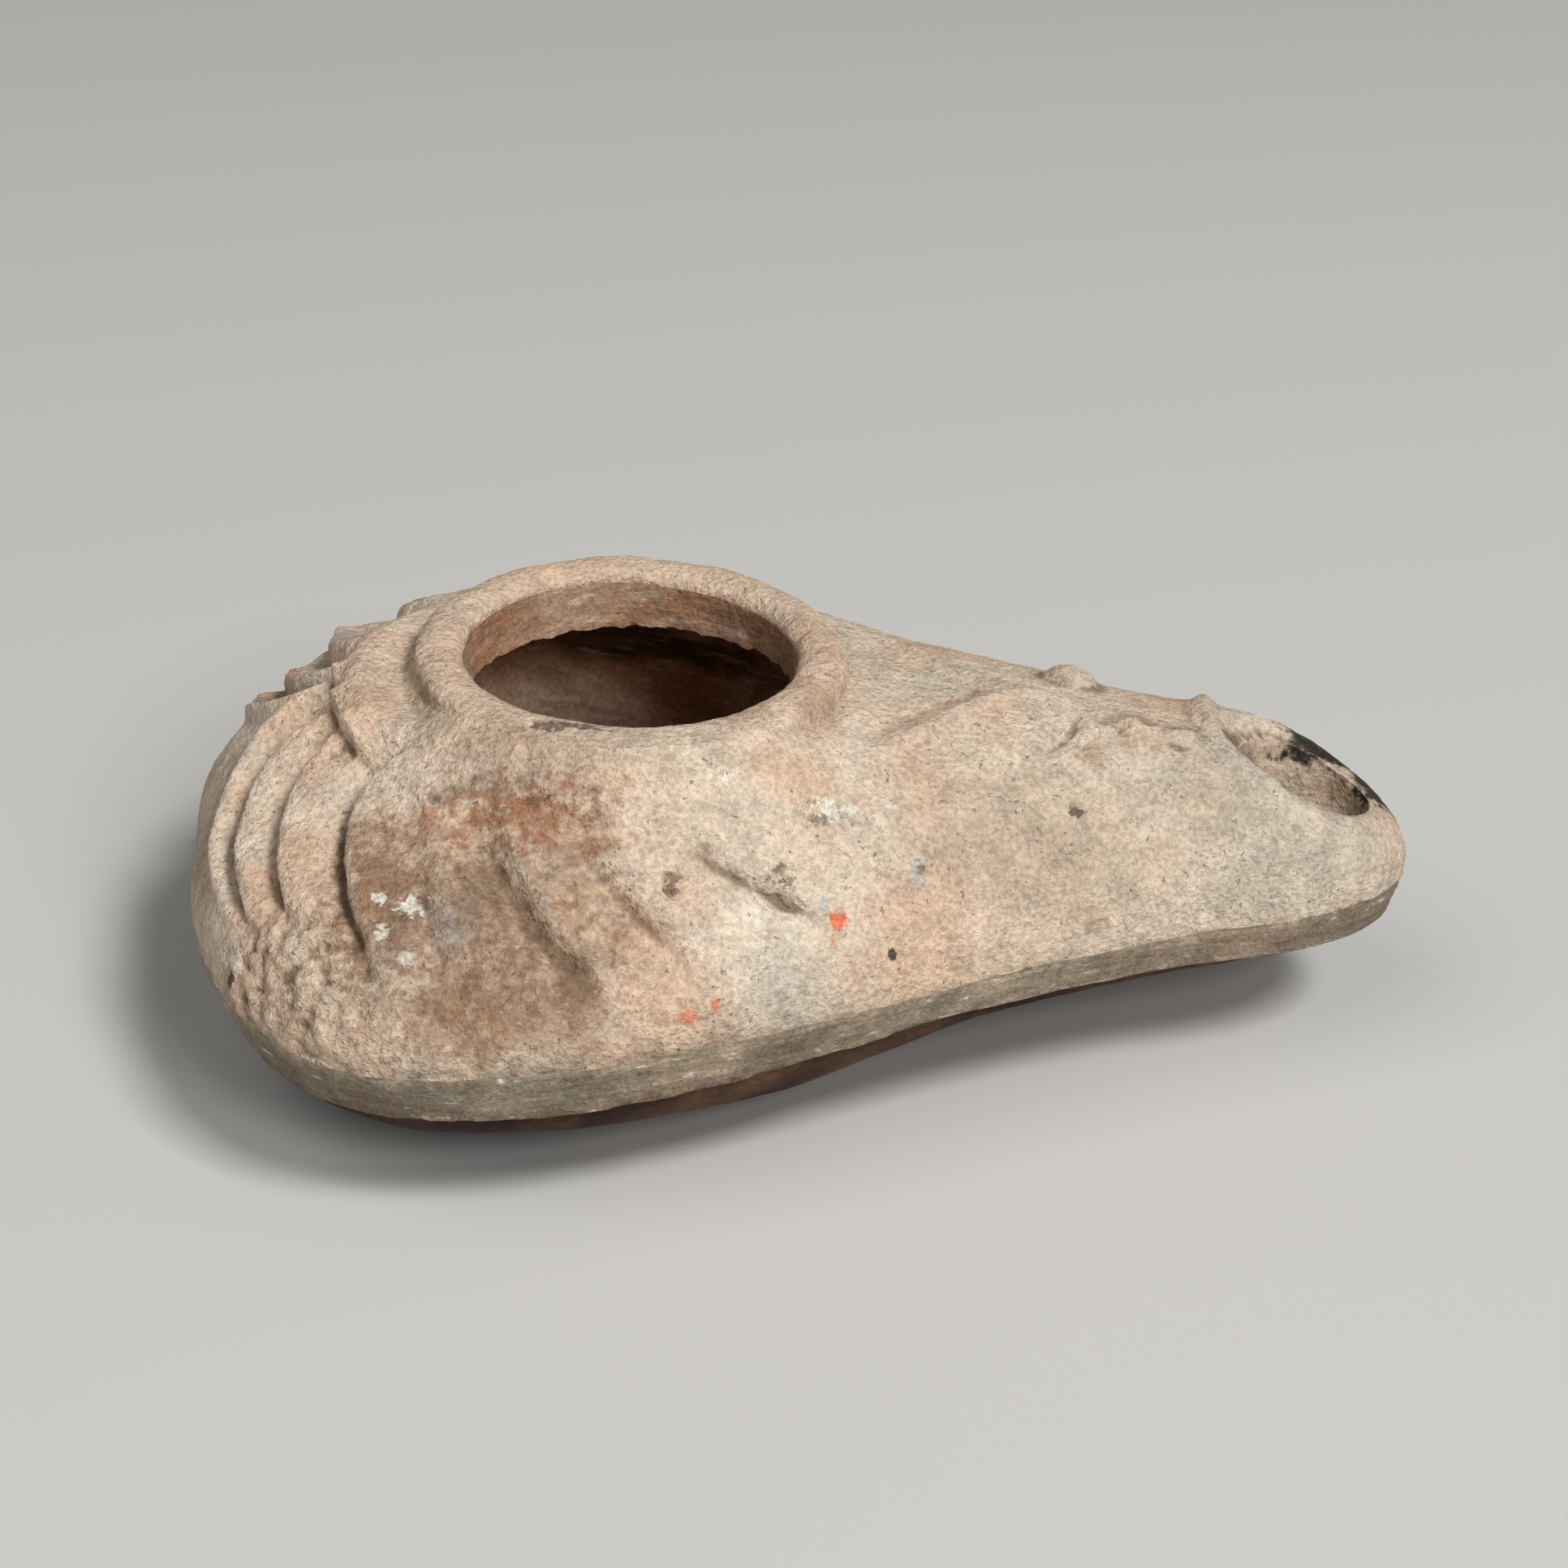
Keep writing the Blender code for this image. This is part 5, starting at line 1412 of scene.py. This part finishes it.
def underside_clay(groups, colours):
    """Red-brown, hand-smoothed clay of the underside, with pale dust on it, its colour darkened as painted
    shade for the shadow under the lamp.
    """
    material, nodes = new_material("underside_clay")
    grain = nodes.group(groups["grain"], Coarseness=0.9)
    wear = nodes.group(groups["wear"], Amount=0.7)
    streak = nodes.group(groups["streak"], Fineness=0.5)
    base = nodes.wash(nodes.rise(grain["Cloud"], 0.42, 0.68), 0.3, colours.underside[:], colours.chamber[:])
    wiped = nodes.wash(nodes.rise(streak["Streaks"], 0.5, 0.75), 0.4, base, colours.soot_and_shade[:])
    dusty = nodes.wash(wear["Worn"], 0.12, wiped, colours.worn_clay[:])
    colour = grained(nodes, dusty, grain, colours.soot_and_shade[:], colours.dirt[:])
    finish_clay(nodes, colour, 0.88, grain["Height"], UNDERSIDE_GRAIN_DEPTH)
    return material


def chamber_clay(groups, colours):
    """Browner clay of the filling hole's wall and the oil chamber, with painted shade and a painted pool of
    light inside.
    """
    material, nodes = new_material("chamber_clay")
    grain = nodes.group(groups["grain"], Coarseness=0.9)
    wear = nodes.group(groups["wear"], Amount=0.9)
    streak = nodes.group(groups["streak"], Fineness=0.7)
    clay = nodes.wash(nodes.rise(grain["Cloud"], 0.42, 0.64), 0.55, colours.chamber[:], colours.worn_clay[:])
    base = add_marks(nodes, groups["patch"], colours, clay, CHAMBER_MARKS)
    dark = nodes.wash(nodes.rise(streak["Streaks"], 0.48, 0.7), 0.4, base, colours.dirt[:])
    pale = nodes.wash(streak["Threads"], 0.22, dark, colours.lime_and_light[:])
    # Hollows take the dark colour: dirt and painted shade
    dirtied_and_shaded = nodes.wash(wear["Dirt"], 0.6, pale, colours.dirt[:])
    bright = nodes.wash(wear["Worn"], 0.3, dirtied_and_shaded, colours.pink_clay_and_light[:])
    colour = grained(nodes, bright, grain, colours.dirt[:], colours.lime_and_light[:])
    height = nodes.math("ADD", grain["Height"], nodes.math("MULTIPLY", streak["Streaks"], 1.2))
    finish_clay(nodes, colour, 0.92, height, CHAMBER_GRAIN_DEPTH)
    return material


def burnt_clay(groups, colours):
    """Gritty clay of the wick hole's wall, black with soot along its far rim."""
    material, nodes = new_material("burnt_clay")
    grain = nodes.group(groups["grain"], Coarseness=0.8)
    base = nodes.blend(nodes.rise(grain["Cloud"], 0.40, 0.60), colours.burnt_clay[:], colours.worn_clay[:])
    marked = add_marks(nodes, groups["patch"], colours, base, BURNT_MARKS)
    colour = grained(nodes, marked, grain, colours.soot_and_shade[:], colours.lime_and_light[:])
    finish_clay(nodes, colour, 0.93, grain["Height"], BURNT_GRAIN_DEPTH)
    return material


FINISHES = {
    "base": "underside_clay",
    "underside": "underside_clay",
    "band": "band_clay",
    "shoulder": "shoulder_clay",
    "collar": "shoulder_clay",
    "hole_wall": "chamber_clay",
    "chamber": "chamber_clay",
}


class LAMP_OT_body(bpy.types.Operator):
    """Model the lamp's shell and give it its clay"""

    bl_idname = "oil_lamp.body"
    bl_label = "Lamp body"

    def execute(self, context):
        scene = context.scene
        groups = {
            "grain": grain_group(),
            "patch": patch_group(),
            "streak": streak_group(),
            "wear": dirt_shade_and_wear_group(),
        }
        makers = (shoulder_clay, band_clay, underside_clay, chamber_clay, burnt_clay)
        clays = [maker(groups, scene.lamp_colours) for maker in makers]
        slot_names = [clay.name for clay in clays]
        lamp = mesh_object("oil_lamp", carved_shell(scene.lamp_form, scene.lamp_relief, slot_names))
        cutter = wick_cutter(scene.lamp_form, slot_names.index("burnt_clay"))
        for clay in clays:
            lamp.data.materials.append(clay)
            cutter.data.materials.append(clay)
        cut_out(lamp, cutter)
        lamp.data.shade_smooth()
        lamp.data.set_sharp_from_angle(angle=math.radians(SHARP_ANGLE))
        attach(lamp, "root")
        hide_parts("lamp_body")
        return {"FINISHED"}


def floor_material(colour):
    """Plain pale matt floor."""
    material, nodes = new_material("pale_floor")
    dry_shader(nodes, FLOOR_GLOSS, {"Base Color": colour, "Roughness": FLOOR_ROUGHNESS})
    return material


def studio_floor(settings):
    """A wide, flat floor at the height of the lamp's base."""
    bm = bmesh.new()
    bmesh.ops.create_circle(bm, cap_ends=True, segments=FLOOR_SIDES, radius=FLOOR_RADIUS)
    floor = mesh_object("floor", bm)
    floor.data.materials.append(floor_material(settings.floor[:]))


def softbox(name, toward, distance, side, power):
    """A square area light that looks at the lamp from this direction."""
    light = bpy.data.lights.new(name, "AREA")
    light.shape = "SQUARE"
    light.size = side
    light.energy = power
    lamp = bpy.data.objects.new(name, light)
    aim = Vector(CAMERA_AIM)
    away = Vector(toward).normalized()
    lamp.location = aim + away * distance
    lamp.rotation_euler = away.to_track_quat("Z", "Y").to_euler()
    bpy.context.scene.collection.objects.link(lamp)


def studio_sky(strength):
    """Even, weak light from all round."""
    world = bpy.data.worlds.new("studio")
    world.use_nodes = True
    back = world.node_tree.nodes["Background"]
    back.inputs["Color"].default_value = (1.0, 1.0, 1.0, 1.0)
    back.inputs["Strength"].default_value = strength
    bpy.context.scene.world = world


def photo_camera():
    """The camera at the photograph's place, tilt and focal length."""
    tilt = math.radians(CAMERA_ELEVATION)
    forward = Vector((0.0, math.cos(tilt), -math.sin(tilt)))
    right = Vector((1.0, 0.0, 0.0))
    turn = Matrix.Rotation(math.radians(CAMERA_ROLL), 3, -forward)
    right = turn @ right
    up = right.cross(forward)
    data = bpy.data.cameras.new("photo_camera")
    data.sensor_width = SENSOR_WIDTH
    data.lens = SENSOR_WIDTH * FOCAL_PIXELS / IMAGE_SIDE
    data.clip_start = CAMERA_NEAR
    data.clip_end = CAMERA_FAR
    camera = bpy.data.objects.new("photo_camera", data)
    axes = Matrix((right, up, -forward)).transposed().to_4x4()
    camera.matrix_world = Matrix.Translation(Vector(CAMERA_AIM) - forward * CAMERA_DISTANCE) @ axes
    bpy.context.scene.collection.objects.link(camera)
    bpy.context.scene.camera = camera


class LAMP_OT_stage(bpy.types.Operator):
    """Set up the floor, the lights and the camera"""

    bl_idname = "oil_lamp.stage"
    bl_label = "Stage"

    def execute(self, context):
        settings = context.scene.studio
        studio_floor(settings)
        softbox("key_light", KEY_TOWARD, KEY_DISTANCE, KEY_SIDE, settings.key_power)
        softbox("low_light", LOW_TOWARD, KEY_DISTANCE, KEY_SIDE, settings.low_power)
        softbox("fill_light", FILL_TOWARD, FILL_DISTANCE, FILL_SIDE, settings.fill_power)
        studio_sky(settings.sky_strength)
        photo_camera()
        context.scene.view_settings.view_transform = "Standard"
        return {"FINISHED"}


class LAMP_PT_panel(bpy.types.Panel):
    """The lamp's settings and operators"""

    bl_idname = "LAMP_PT_panel"
    bl_label = "Oil Lamp"
    bl_space_type = "VIEW_3D"
    bl_region_type = "UI"
    bl_category = "Oil Lamp"

    def draw(self, context):
        layout = self.layout
        for name in SETTINGS:
            settings = getattr(context.scene, name)
            box = layout.box()
            for key in settings.__annotations__:
                box.prop(settings, key)
        layout.operator(LAMP_OT_body.bl_idname)
        layout.operator(LAMP_OT_stage.bl_idname)


SETTINGS = {
    "lamp_form": LampForm,
    "lamp_relief": LampRelief,
    "lamp_colours": LampColours,
    "studio": StudioSettings,
}
CLASSES = (*SETTINGS.values(), LAMP_OT_body, LAMP_OT_stage, LAMP_PT_panel)


def register():
    """Register the classes and hang their settings on the scene."""
    for made in CLASSES:
        bpy.utils.register_class(made)
    for name, settings in SETTINGS.items():
        setattr(bpy.types.Scene, name, PointerProperty(type=settings))


def unregister():
    """Take the settings and the classes away again."""
    for name in SETTINGS:
        delattr(bpy.types.Scene, name)
    for made in reversed(CLASSES):
        bpy.utils.unregister_class(made)


def main():
    """Build the lamp and its stage."""
    register()
    bpy.ops.oil_lamp.stage()
    bpy.ops.oil_lamp.body()


if __name__ == "__main__":
    main()
